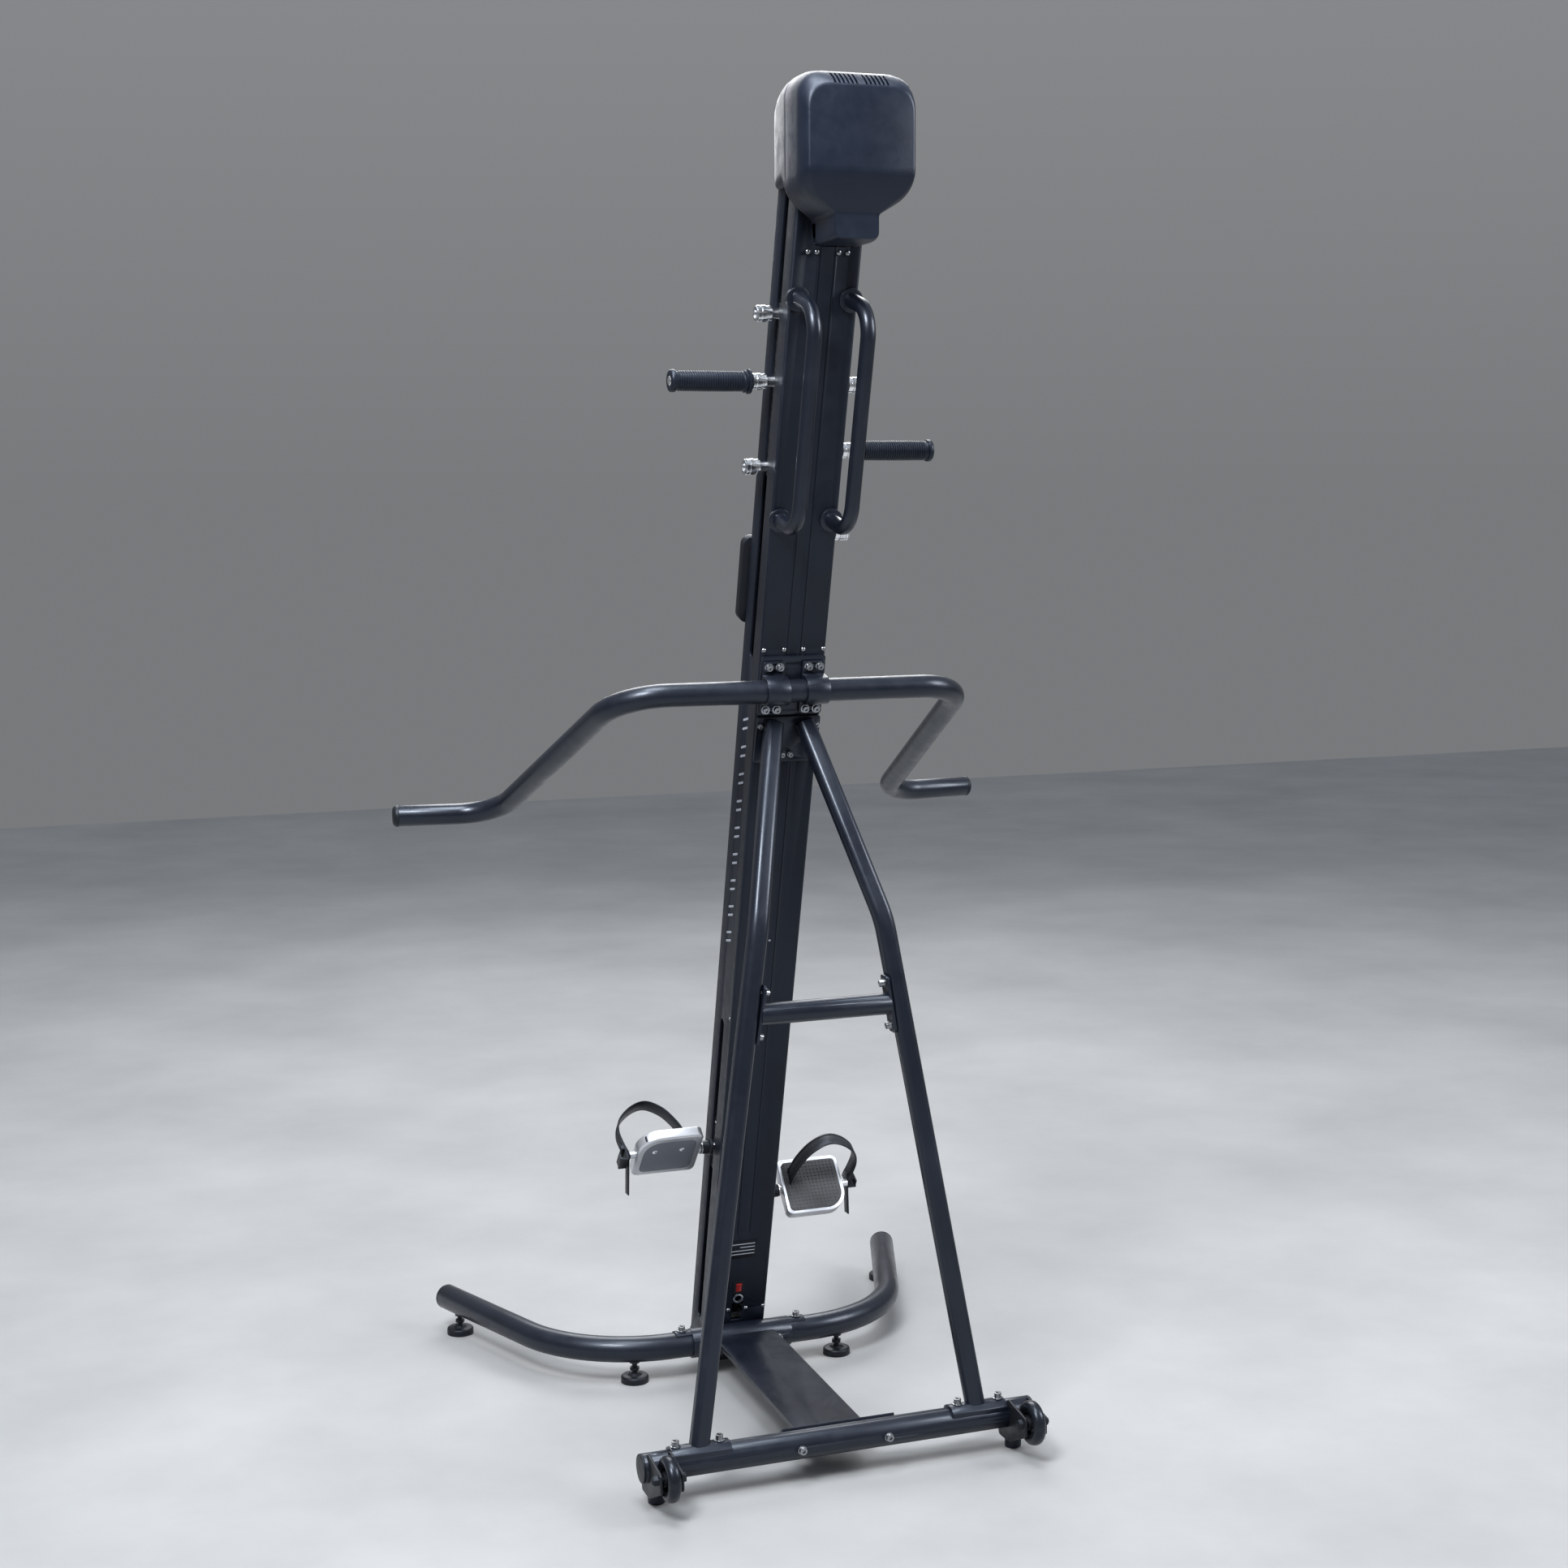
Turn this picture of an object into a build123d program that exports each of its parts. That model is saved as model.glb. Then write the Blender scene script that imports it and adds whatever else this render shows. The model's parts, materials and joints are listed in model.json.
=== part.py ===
"""Vertical climber: a leaning box column with two hand carriages and two foot carriages.

Millimetres, +Z up, +X to the climber's right, the climber stands on the -Y side facing +Y.
The origin is on the floor, in the middle of the footprint.
"""
from build123d import *
from math import atan2, cos, degrees, radians, sin
import os

# ---------------------------------------------------------------- driving dimensions
LEAN = 15.0                 # the column leans back from the climber, degrees
ORIGIN_Y = 148.7            # floor point under the column's rear face, to the footprint's middle

MAST_W = 120.0              # column, across
MAST_D = 96.0               # column, front to back
MAST_WALL = 4.0
MAST_BOTTOM = 30.0
MAST_TOP = 2315.0
MAST_MID = -MAST_D / 2      # middle of the column's side, from its rear face
SLOT_W = 20.0
HAND_SLOT = (1461.0, 2305.0)
FOOT_SLOT = (85.0, 750.0)

HAND_MID = 1884.5           # middle socket when both hands are level
FOOT_MID = 417.0            # pedal axle when both feet are level
LEFT_RIGHT_LEAD = 58.0      # each side's distance from level, in the resting pose
SOCKET_STEPS = (111.5, 0.0, -143.5)

SPROCKET_R = 28.0           # pitch radius
SHAFT_S = 2284.0
IDLER_S = 74.0
CHAIN_X = 30.0
CHAIN_W = 8.0
CHAIN_T = 8.0
PULLEY_R = 28.0
FLYWHEEL_R = 47.0
FLYWHEEL_AT = (60.0, 2285.0)
FLYWHEEL_PULLEY_R = 12.0
BELT_X = 64.5
BELT_W = 6.0

TUBE_R = 25.4               # base tubes
SLEEVE_R = 29.0
BASE_Z = 68.0
SLEEVE_Y = 46.0
REAR_Y = 594.0
REAR_HALF = 364.0
FRONT_TIP = (488.0, -402.0)
FOOT_INNER = 0.262           # places of the levelling feet, as shares of the leg's length
FOOT_OUTER = 0.935
FOOT_OFF = 6.0
FRONT_BEND_X = 322.0
FRONT_BEND_R = 258.0
WHEEL_X = 338.0
WHEEL_Y = 667.0
WHEEL_Z = 74.0
WHEEL_R = 40.0
WHEEL_W = 24.0

LEG_W = 34.0
LEG_T = 32.0
LEG_FOOT = (266.0, 594.0, 60.0)
LEG_BEND = (116.0, 514.0, 976.0)
LEG_TOP = (29.0, 360.0, 1308.0)
BRACE_Z = 828.0

BAR_R = 20.5                # handlebar
BAR_S = 1422.6
BAR_OFF = 26.0
BAR_ELBOW_X = 320.0
BAR_DROP = (402.0, -184.0, 1105.0)
BAR_TIP = (591.0, -201.0, 1106.0)
BAR_BEND_R = 98.0

LOOP_R = 12.5
LOOP_X = 46.5
LOOP_OUT = 92.0
LOOP_SPAN = (1720.0, 2088.0)

PEDAL_W = 126.0
PEDAL_L = 116.0
PEDAL_T = 22.0
PEDAL_X = 90.0
PEDAL_TILT = {1: 50.0, -1: -50.0}   # toe up, and toe down, at rest
PAD_TOP = 12.5                      # pad's top above the axle
STRAP_LEAN = {1: 0.0, -1: 20.0}     # each strap's swing on its pedal
STRAP_SHIFT = {1: 0.0, -1: -14.0}   # each strap's place along its pedal
STRAP_W = 30.0
STRAP_T = 2.4
STRAP_ROOT = 107.0                  # inner end, which rises from the pad
STRAP_HIGH = 110.5                  # crown of the strap above the axle
STRAP_OUT = 14.0                    # strap's outer end, from the pedal's edge
SIDES = {"right": 1, "left": -1}    # as the climber sees them, +X is the climber's right

GAP = 0.3

os.makedirs("parts", exist_ok=True)
NODES = {}


# ---------------------------------------------------------------- helpers
def keep(name, *shapes):
    """Store a node as one solid or as a group of separate solids, in the model's frame."""
    solids = [solid for shape in shapes for solid in shape.solids()]
    NODES[name] = Pos(0, -ORIGIN_Y, 0) * Compound(children=solids)


def lean(shape):
    """Place a shape drawn against the upright column (x, rearwards, along) into the world."""
    return Rot(-LEAN, 0, 0) * shape


def lean_point(x, rear, along):
    """World point of a place given against the column."""
    a = radians(LEAN)
    return (x, along * sin(a) + rear * cos(a), along * cos(a) - rear * sin(a))


def box(x0, x1, y0, y1, z0, z1):
    """Axis-aligned block between two corners."""
    return Pos((x0 + x1) / 2, (y0 + y1) / 2, (z0 + z1) / 2) * Box(x1 - x0, y1 - y0, z1 - z0)


def rod_x(x0, x1, y, z, radius):
    """Round bar along X."""
    return Pos((x0 + x1) / 2, y, z) * Rot(0, 90, 0) * Cylinder(radius, abs(x1 - x0))


def rod_y(x, y0, y1, z, radius):
    """Round bar along Y."""
    return Pos(x, (y0 + y1) / 2, z) * Rot(90, 0, 0) * Cylinder(radius, abs(y1 - y0))


def rod_z(x, y, z0, z1, radius):
    """Round bar along Z."""
    return Pos(x, y, (z0 + z1) / 2) * Cylinder(radius, abs(z1 - z0))


def tube(path, outer, inner):
    """Round tube along a path."""
    start = Plane(origin=path @ 0, z_dir=path % 0)
    ring = Circle(outer) - Circle(inner)
    return sweep(start * ring, path)


def side_prism(points, x0, x1):
    """Extrude a (y, z) outline along X."""
    outline = Plane.YZ * make_face(Polyline(*points, close=True))
    return Pos(x0, 0, 0) * extrude(outline, amount=x1 - x0)


def mirrored(shape):
    """The same shape on the other side of the object's middle plane."""
    return mirror(shape, about=Plane.YZ)


def both(shape):
    """A shape and its mirror image."""
    return [shape, mirrored(shape)]


# ---------------------------------------------------------------- fasteners
BOLTS = []
SHANKS = []


def bolt(point, direction, radius=4.0, head=6.5, height=7.0, grip=12.0, washer=9.0):
    """Socket-head bolt: washer and head stand out of the surface, the shank goes in."""
    plane = Plane(origin=point, z_dir=direction)
    disc = Pos(0, 0, 0.8) * Cylinder(washer, 1.6)
    body = plane * (disc + Pos(0, 0, 1.6 + height / 2) * Cylinder(head, height))
    hexagon = extrude(RegularPolygon(head * 0.55, 6), amount=height * 0.6)
    body -= plane * Pos(0, 0, 1.6 + height * 0.45) * hexagon
    shank = plane * (Pos(0, 0, -grip / 2) * Cylinder(radius, grip))
    BOLTS.append(body + shank)
    SHANKS.append(plane * (Pos(0, 0, -grip / 2) * Cylinder(radius + 0.15, grip + 0.3)))


def screw(point, direction, radius=4.5, grip=3.5):
    """Small round-head screw."""
    plane = Plane(origin=point, z_dir=direction)
    dome = Sphere(radius) & Pos(0, 0, radius) * Box(3 * radius, 3 * radius, 2 * radius)
    body = plane * (scale(dome, (1, 1, 0.7)) + Pos(0, 0, -grip / 2) * Cylinder(radius / 2, grip))
    BOLTS.append(body)
    SHANKS.append(plane * (Pos(0, 0, -grip / 2) * Cylinder(radius / 2 + 0.15, grip + 0.3)))


def drilled(shape):
    """Remove every bolt shank that reaches the shape."""
    limits = shape.bounding_box()
    for shank in SHANKS:
        reach = shank.bounding_box()
        apart = (
            reach.min.X > limits.max.X or reach.max.X < limits.min.X
            or reach.min.Y > limits.max.Y or reach.max.Y < limits.min.Y
            or reach.min.Z > limits.max.Z or reach.max.Z < limits.min.Z
        )
        if not apart:
            shape -= shank
    return shape


def place_fasteners():
    """Every bolt and screw of the fixed frame."""
    rear = lean_point(0, 1, 0)
    rear = (0, rear[1], rear[2])
    for side in (1, -1):
        for x, along in ((34.6, 2162.5), (19.2, 2162.5), (55.0, 1489.0), (17.7, 1489.0)):
            screw(lean_point(side * x, 0, along), rear)
        for x in (18.4, 54.5):
            screw(lean_point(side * x, 0, 125.0), rear)
        for x in (47.1, 26.6):
            for along in (1461.4, 1383.8):
                bolt(lean_point(side * x, 10, along), rear, grip=13.5, head=5.5, washer=8.0, height=6)
        bolt(lean_point(side * 52.5, 6, 1352.0), rear, grip=9.5, radius=3, head=4.5, washer=5.2, height=5)
        bolt(lean_point(side * 7.5, 6, 1298.0), rear, grip=9.5, radius=3, head=4.5, washer=5.2, height=5)
        for x in (304.5, 224.8):
            bolt((side * x, REAR_Y, BASE_Z + TUBE_R + 5), (0, 0, 1), grip=14, height=9)
        bolt((side * 81.6, REAR_Y + TUBE_R, BASE_Z), (0, 1, 0), grip=3.5, washer=8.0)
        bolt((side * 119.0, SLEEVE_Y, BASE_Z + TUBE_R + 2.5), (0, 0, 1), grip=6, height=8)
        bolt((side * 72.0, SLEEVE_Y + SLEEVE_R, BASE_Z), (0, 1, 0), grip=6, washer=8.0)
        screw(lean_point(side * 60.0, -9, 770.0), (side, 0, 0), radius=3.5)
    screw(lean_point(17.0, 0, 770.0), rear, radius=3.5)
    screw(lean_point(-17.0, 0, 770.0), rear, radius=3.5)
    screw(lean_point(-2.0, 0, 930.0), rear, radius=2.5)


# ---------------------------------------------------------------- column
def slot_cutter(low, high):
    """Rounded slot through both sides of the column."""
    r = SLOT_W / 2
    mid = box(-70, 70, MAST_MID - r, MAST_MID + r, low + r, high - r)
    return mid + rod_x(-70, 70, MAST_MID, low + r, r) + rod_x(-70, 70, MAST_MID, high - r, r)


def mast_column():
    """Box extrusion with a carriage slot above and below on each side."""
    outer = box(-MAST_W / 2, MAST_W / 2, -MAST_D, 0, MAST_BOTTOM, MAST_TOP)
    outer = fillet(outer.edges().filter_by(Axis.Z), 5)
    w = MAST_WALL
    inner = box(-MAST_W / 2 + w, MAST_W / 2 - w, -MAST_D + w, -w, MAST_BOTTOM - 1, MAST_TOP + 1)
    body = outer - inner - slot_cutter(*HAND_SLOT) - slot_cutter(*FOOT_SLOT)
    for x in (-12.5, 12.5):
        body -= box(x - 0.8, x + 0.8, -1.2, 1, 300, 2190)
    body -= box(-11, 11, -w - 1, 1, 100, 140)
    body -= Pos(0, -2, 176) * Box(17, 6, 25)
    body -= Pos(0, -2, 151) * Rot(90, 0, 0) * Cylinder(8.5, 8)
    body = lean(body) - rod_x(-110, 110, SLEEVE_Y, BASE_Z, SLEEVE_R + GAP)
    return drilled(body)


def mast_bottom_cap():
    """Plug in the column's lower end."""
    flange = box(-MAST_W / 2, MAST_W / 2, -MAST_D, 0, MAST_BOTTOM - 4, MAST_BOTTOM)
    w = MAST_WALL + 0.2
    plug = box(-MAST_W / 2 + w, MAST_W / 2 - w, -MAST_D + w, -w, MAST_BOTTOM, MAST_BOTTOM + 8)
    return lean(flange + plug)


def rating_plate():
    """Blank data plate on the column's rear."""
    plate = box(-31, 31, 0, 0.8, 244, 284)
    return lean(fillet(plate.edges().filter_by(Axis.Y), 2))


def power_socket():
    """Switch frame and round supply socket, in the column's rear."""
    frame = Pos(0, 0.75, 176) * Box(21, 1.5, 29) + Pos(0, -5, 176) * Box(16.6, 10, 24.6)
    frame -= Pos(0, -2, 176) * Box(12, 18, 20)
    rim = Pos(0, 1.25, 151) * Rot(90, 0, 0) * Cylinder(10.5, 2.5)
    barrel = Pos(0, -7, 151) * Rot(90, 0, 0) * Cylinder(8.3, 14)
    hollow = Pos(0, -2, 151) * Rot(90, 0, 0) * Cylinder(6.2, 12)
    return lean(frame + (rim + barrel - hollow))


def power_rocker():
    """Rocker of the power switch, on its pin."""
    outline = [(-5.0, 167.2), (-5.0, 184.8), (3.4, 184.8), (1.2, 176), (2.2, 167.2)]
    return lean(side_prism(outline, -5.6, 5.6))


# ---------------------------------------------------------------- base
def front_leg_path():
    """Centre line of one front leg, from inside the sleeve to its tip."""
    return FilletPolyline(
        (20, SLEEVE_Y, BASE_Z), (FRONT_BEND_X, SLEEVE_Y, BASE_Z), (*FRONT_TIP, BASE_Z), radius=FRONT_BEND_R
    )


def front_leg():
    """Bent base tube of the climber's right side, with a threaded bush over each levelling foot."""
    path = front_leg_path()
    leg = tube(path, TUBE_R, TUBE_R - 3)
    for x, y in foot_places():
        leg -= rod_z(x, y, BASE_Z - TUBE_R - 5, BASE_Z, 7.0)
        leg += rod_z(x, y, BASE_Z - TUBE_R - 4, BASE_Z - TUBE_R + 8, 10.0)
        leg -= rod_z(x, y, BASE_Z - TUBE_R - 6, BASE_Z, 5.05)
    return leg


def foot_places():
    """Where the levelling feet of one front leg stand: near the sleeve, and near the tip."""
    path = front_leg_path()
    places = [tuple(path @ t)[:2] for t in (FOOT_INNER, FOOT_OUTER)]
    return [(x, y - FOOT_OFF) for x, y in places]


def front_cap():
    """Plug in the tip of one front leg."""
    path = front_leg_path()
    plane = Plane(origin=path @ 1, z_dir=path % 1)
    disc = fillet(Cylinder(TUBE_R, 5).edges().group_by(Axis.Z)[-1], 2)
    return plane * (Pos(0, 0, 2.5) * disc + Pos(0, 0, -8) * Cylinder(TUBE_R - 3.2, 16))


def levelling_foot(x, y):
    """Domed pad with a threaded stem and a lock nut."""
    pad = fillet(Cylinder(27, 14).edges().group_by(Axis.Z)[-1], 5)
    pad = Pos(x, y, 7) * pad + Pos(x, y, 16) * Cone(15, 9, 5)
    stem = rod_z(x, y, 15, 62, 5.0)
    nut = Pos(x, y, 24) * extrude(RegularPolygon(9.5, 6), amount=6)
    return pad + stem + nut


def base_sleeve():
    """Sleeve that joins both front legs, with the bracket under the column."""
    half = 102.0
    ring = rod_x(-half, half, SLEEVE_Y, BASE_Z, SLEEVE_R)
    ring -= rod_x(-half - 1, half + 1, SLEEVE_Y, BASE_Z, TUBE_R + 0.05)
    shelf = lean(box(-MAST_W / 2, MAST_W / 2, -MAST_D, 14, MAST_BOTTOM - 12, MAST_BOTTOM - 4))
    web = box(-MAST_W / 2, MAST_W / 2, 16, SLEEVE_Y - 12, BASE_Z - 40, BASE_Z - 24)
    shoe = rod_x(-half, half, SLEEVE_Y, BASE_Z, SLEEVE_R - 1)
    body = ring + (shelf + web - shoe)
    for side in (1, -1):
        saddle = rod_x(side * 102, side * 134, SLEEVE_Y, BASE_Z, TUBE_R + 2.5) - rod_x(
            side * 101, side * 135, SLEEVE_Y, BASE_Z, TUBE_R + 0.05)
        body += saddle & box(-140, 140, SLEEVE_Y - 15, SLEEVE_Y + 15, BASE_Z, BASE_Z + 40)
    return drilled(body)


def spine_plate():
    """Flat plate from the sleeve to a curved saddle that hugs the rear tube."""
    front_y = SLEEVE_Y + SLEEVE_R - 3
    rear_y = REAR_Y - TUBE_R - 3
    top = [(front_y, 84), (front_y + 60, 84), (rear_y, 72)]
    outline = top + [(rear_y, 62), (front_y + 60, 74), (front_y, 74)]
    plate = side_prism(outline, -63, 63) - rod_x(-70, 70, SLEEVE_Y, BASE_Z, SLEEVE_R)
    saddle = rod_x(-106, 106, REAR_Y, BASE_Z, TUBE_R + 5) - rod_x(-110, 110, REAR_Y, BASE_Z, TUBE_R)
    wedge = [
        (REAR_Y, BASE_Z), (REAR_Y - 14, BASE_Z + 40),
        (REAR_Y - 40, BASE_Z + 40), (REAR_Y - 40, BASE_Z - 12),
    ]
    saddle &= side_prism(wedge, -110, 110)
    return drilled(plate - rod_x(-110, 110, REAR_Y, BASE_Z, TUBE_R) + saddle)


def rear_cross_tube():
    """Straight tube across the rear of the base."""
    body = rod_x(-REAR_HALF, REAR_HALF, REAR_Y, BASE_Z, TUBE_R)
    body -= rod_x(-REAR_HALF - 1, REAR_HALF + 1, REAR_Y, BASE_Z, TUBE_R - 3)
    return drilled(body)


def rear_cap():
    """Plug in the end of the rear tube."""
    disc = Pos(REAR_HALF + 2, REAR_Y, BASE_Z) * Rot(0, 90, 0) * Cylinder(TUBE_R, 4)
    plug = rod_x(REAR_HALF - 16, REAR_HALF, REAR_Y, BASE_Z, TUBE_R - 3.2)
    return fillet(disc.edges().group_by(Axis.X)[-1], 1.5) + plug


def wheel_bracket():
    """Fork for one transport wheel and shelf for one rear foot, welded to the rear tube."""
    points = [(572, 21), (616, 21), (684, 56), (684, 88), (660, 92), (608, 100), (600, 80), (572, 50)]
    cheek = fillet(side_prism(points, -2, 2).edges().filter_by(Axis.X), 7)
    shelf = box(-17, 17, 573, 612, 21, 26)
    fork = Pos(-19, 0, 0) * cheek + Pos(19, 0, 0) * cheek + shelf
    fork -= rod_x(-30, 30, REAR_Y, BASE_Z, TUBE_R)
    fork -= rod_x(-30, 30, WHEEL_Y, WHEEL_Z, 5.0)
    pin = rod_x(-25, 25, WHEEL_Y, WHEEL_Z, 4.9)
    nut = Pos(21, WHEEL_Y, WHEEL_Z) * Rot(0, 90, 0) * extrude(RegularPolygon(9, 6), amount=7)
    head = Pos(-28, WHEEL_Y, WHEEL_Z) * Rot(0, 90, 0) * extrude(RegularPolygon(9, 6), amount=7)
    dome = Pos(28, WHEEL_Y, WHEEL_Z) * scale(Sphere(7), (0.6, 1, 1))
    return Pos(WHEEL_X, 0, 0) * (fork + (pin + nut + head + dome))


def transport_wheel():
    """Narrow wheel with a rounded tread."""
    profile = [(5.1, -11), (12, -11), (12, -7), (24, -7), (24, -10), (31, -WHEEL_W / 2 + 1)]
    outer = [(31, WHEEL_W / 2 - 1), (24, 10), (24, 7), (12, 7), (12, 11), (5.1, 11)]
    tread = ThreePointArc((31, -WHEEL_W / 2 + 1), (WHEEL_R, 0), (31, WHEEL_W / 2 - 1))
    closing = Line(outer[-1], profile[0])
    face = make_face([*Polyline(*profile).edges(), tread, *Polyline(*outer).edges(), closing])
    wheel = revolve(Plane.XZ * face, Axis.Z)
    return Pos(WHEEL_X, WHEEL_Y, WHEEL_Z) * Rot(0, 90, 0) * wheel


def rear_foot():
    """Rubber foot under one end of the rear tube."""
    pad = chamfer(Cylinder(15, 21).edges().group_by(Axis.Z)[0], 2)
    return Pos(WHEEL_X, 589, 10.5) * pad


# ---------------------------------------------------------------- rear support
def leg_path():
    """Centre line of one support leg."""
    return FilletPolyline(LEG_FOOT, LEG_BEND, LEG_TOP, radius=150)


def support_leg():
    """Round-cornered tube from the rear tube to the column, with its foot saddle."""
    path = leg_path()
    start = Plane(origin=path @ 0, x_dir=(1, 0, 0), z_dir=path % 0)
    section = RectangleRounded(LEG_W, LEG_T, 12) - RectangleRounded(LEG_W - 5, LEG_T - 5, 9.5)
    leg = sweep(start * section, path)
    leg -= rod_x(100, 400, REAR_Y, BASE_Z, TUBE_R + 5)
    leg -= lean(box(-100, 100, -200, 6, 1200, 1500))
    saddle = rod_x(208, 315, REAR_Y, BASE_Z, TUBE_R + 5) - rod_x(200, 330, REAR_Y, BASE_Z, TUBE_R)
    saddle &= box(200, 330, REAR_Y - 22, REAR_Y + 22, BASE_Z, BASE_Z + 40)
    return drilled(leg + saddle)


def frame_top_plate():
    """Plate that carries both legs on the column's rear."""
    plate = box(-MAST_W / 2 + 1, MAST_W / 2 - 1, 0, 6, 1284, 1368)
    return drilled(lean(fillet(plate.edges().filter_by(Axis.Y), 4)))


def cross_brace():
    """Tube between the legs, with a flange at each end."""
    t = (BRACE_Z - LEG_FOOT[2]) / (LEG_BEND[2] - LEG_FOOT[2])
    x = LEG_FOOT[0] + t * (LEG_BEND[0] - LEG_FOOT[0])
    y = LEG_FOOT[1] + t * (LEG_BEND[1] - LEG_FOOT[1])
    tilt = degrees(atan2(LEG_FOOT[0] - LEG_BEND[0], LEG_BEND[2] - LEG_FOOT[2]))
    inner = LEG_W / 2 / cos(radians(tilt))
    flange_x = x - inner - 2.7
    slab = fillet(Box(5, 30, 104).edges().filter_by(Axis.X), 8)
    flange = Pos(flange_x, y, BRACE_Z) * Rot(0, -tilt, 0) * slab
    bar = rod_x(-flange_x, flange_x, y, BRACE_Z, 19)
    bar -= rod_x(-flange_x - 9, flange_x + 9, y, BRACE_Z, 16.5)
    cut = Pos(flange_x + 5, y, BRACE_Z) * Rot(0, -tilt, 0) * Box(10, 60, 140)
    bar = bar - cut - mirrored(cut)
    for side in (1, -1):
        for up in (38.5, -38.5):
            a = radians(tilt)
            place = (side * (flange_x - up * sin(a) - 2.5 * cos(a)), y, BRACE_Z + up * cos(a) - 2.5 * sin(a))
            bolt(place, (-side * cos(a), 0, -sin(a)), grip=7.5, height=8, washer=7.5, head=6)
    return bar + flange + mirrored(flange)


# ---------------------------------------------------------------- handles
def handlebar():
    """Fixed bull-horn bar, clamped behind the column and reaching round to the climber."""
    elbow = (BAR_ELBOW_X, *lean_point(0, BAR_OFF, BAR_S)[1:])
    points = [BAR_TIP, BAR_DROP, elbow]
    other = [(-x, y, z) for x, y, z in reversed(points)]
    path = FilletPolyline(*points, *other, radius=BAR_BEND_R)
    return tube(path, BAR_R, BAR_R - 2.5)


def handlebar_cap():
    """Rounded plug in the end of the handlebar."""
    away = [a - b for a, b in zip(BAR_TIP, BAR_DROP)]
    disc = fillet(Cylinder(BAR_R, 10).edges().group_by(Axis.Z)[-1], 8)
    plug = Pos(0, 0, -8) * Cylinder(BAR_R - 2.7, 16)
    return Plane(origin=BAR_TIP, z_dir=away) * (Pos(0, 0, 5) * disc + plug)


def handlebar_plate():
    """Plate under the handlebar clamps."""
    plate = box(-MAST_W / 2 + 1, MAST_W / 2 - 1, 0, 5, 1372, 1479)
    return drilled(lean(fillet(plate.edges().filter_by(Axis.Y), 4)))


def handlebar_clamp():
    """Clamp that holds the bar on the plate, on one side."""
    ears = box(16, 57.5, 5, 10, 1374, 1471)
    ring = rod_x(16, 57.5, BAR_OFF, BAR_S, BAR_R + 4.5)
    block = box(16, 57.5, 5, BAR_OFF, BAR_S - BAR_R - 4.5, BAR_S + BAR_R + 4.5)
    body = fillet(ears.edges().filter_by(Axis.Y), 5) + (ring & box(0, 80, 5, 80, 1300, 1500)) + block
    return drilled(lean(body - rod_x(10, 60, BAR_OFF, BAR_S, BAR_R + 0.05)))


def grab_loop():
    """Upright U-shaped handle on the column's rear, with a round flange at each foot."""
    low, high = LOOP_SPAN
    points = [(LOOP_X, 0, low), (LOOP_X, LOOP_OUT, low), (LOOP_X, LOOP_OUT, high), (LOOP_X, 0, high)]
    loop = tube(FilletPolyline(*points, radius=48), LOOP_R, LOOP_R - 2)
    for along in LOOP_SPAN:
        loop += rod_y(LOOP_X, 0, 6, along, 20) - rod_y(LOOP_X, -1, 7, along, LOOP_R - 1)
    return lean(loop)


# ---------------------------------------------------------------- hand carriages
def carriage_body(low, high, arm_y):
    """Bar inside the column with a sliding shoe at each end and an arm to its chain strand."""
    x0, x1 = 41.0, MAST_W / 2 - MAST_WALL - GAP
    bar = box(x0, x1, MAST_MID - 20, MAST_MID + 20, low, high)
    inset = MAST_WALL + GAP
    for s0, s1 in ((low, low + 36), (high - 36, high)):
        bar += box(x0, x1, -MAST_D + inset, -inset, s0, s1)
    arm = box(CHAIN_X + CHAIN_W / 2 + GAP, x0, arm_y - 9, arm_y + 9, low + 4, low + 32)
    return bar + arm


def socket(along):
    """Quick-release socket that stands out through the slot, with a ball-lock rim."""
    neck = rod_x(54, 72, MAST_MID, along, 8.6)
    body = rod_x(72, 98, MAST_MID, along, 10.0)
    rim = rod_x(98, 99.5, MAST_MID, along, 12.0)
    return neck + body + rim - rod_x(62, 101, MAST_MID, along, 8.0)


def release_sleeve(along):
    """Chrome collar that is pulled back towards the column to free the grip."""
    collar = rod_x(73, 97.5, MAST_MID, along, 13.5) - rod_x(70, 100, MAST_MID, along, 10.06)
    groove = rod_x(79, 82, MAST_MID, along, 15) - rod_x(78, 83, MAST_MID, along, 12.5)
    return collar - groove


def hand_grip(along):
    """Steel core plugged into the middle socket, under a rubber grip with two rims."""
    core = rod_x(62.5, 232, MAST_MID, along, 7.92)
    rubber = rod_x(100, 238, MAST_MID, along, 16.3)
    rubber += rod_x(100, 105, MAST_MID, along, 20.5) + rod_x(108, 111, MAST_MID, along, 18.5)
    rubber += rod_x(232, 241, MAST_MID, along, 18.6)
    rubber = fillet(rubber.edges().group_by(Axis.X)[-1], 4)
    return [core, rubber - rod_x(99, 232, MAST_MID, along, 7.92)]


def build_hands():
    """Both hand carriages, with sockets, sleeves and grips."""
    for name, side in SIDES.items():
        level = HAND_MID + side * LEFT_RIGHT_LEAD
        strand = MAST_MID - side * SPROCKET_R
        places = [level + step for step in SOCKET_STEPS]
        carriage = carriage_body(places[-1] - 16, places[0] + 16, strand)
        for along in places:
            carriage += socket(along)
        flip = (lambda s: s) if side > 0 else mirrored
        keep("hand_carriage_" + name, lean(flip(carriage)))
        for label, along in zip(("upper", "middle", "lower"), places):
            keep(f"release_sleeve_{name}_{label}", lean(flip(release_sleeve(along))))
        keep("hand_grip_" + name, *[lean(flip(piece)) for piece in hand_grip(level)])


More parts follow.
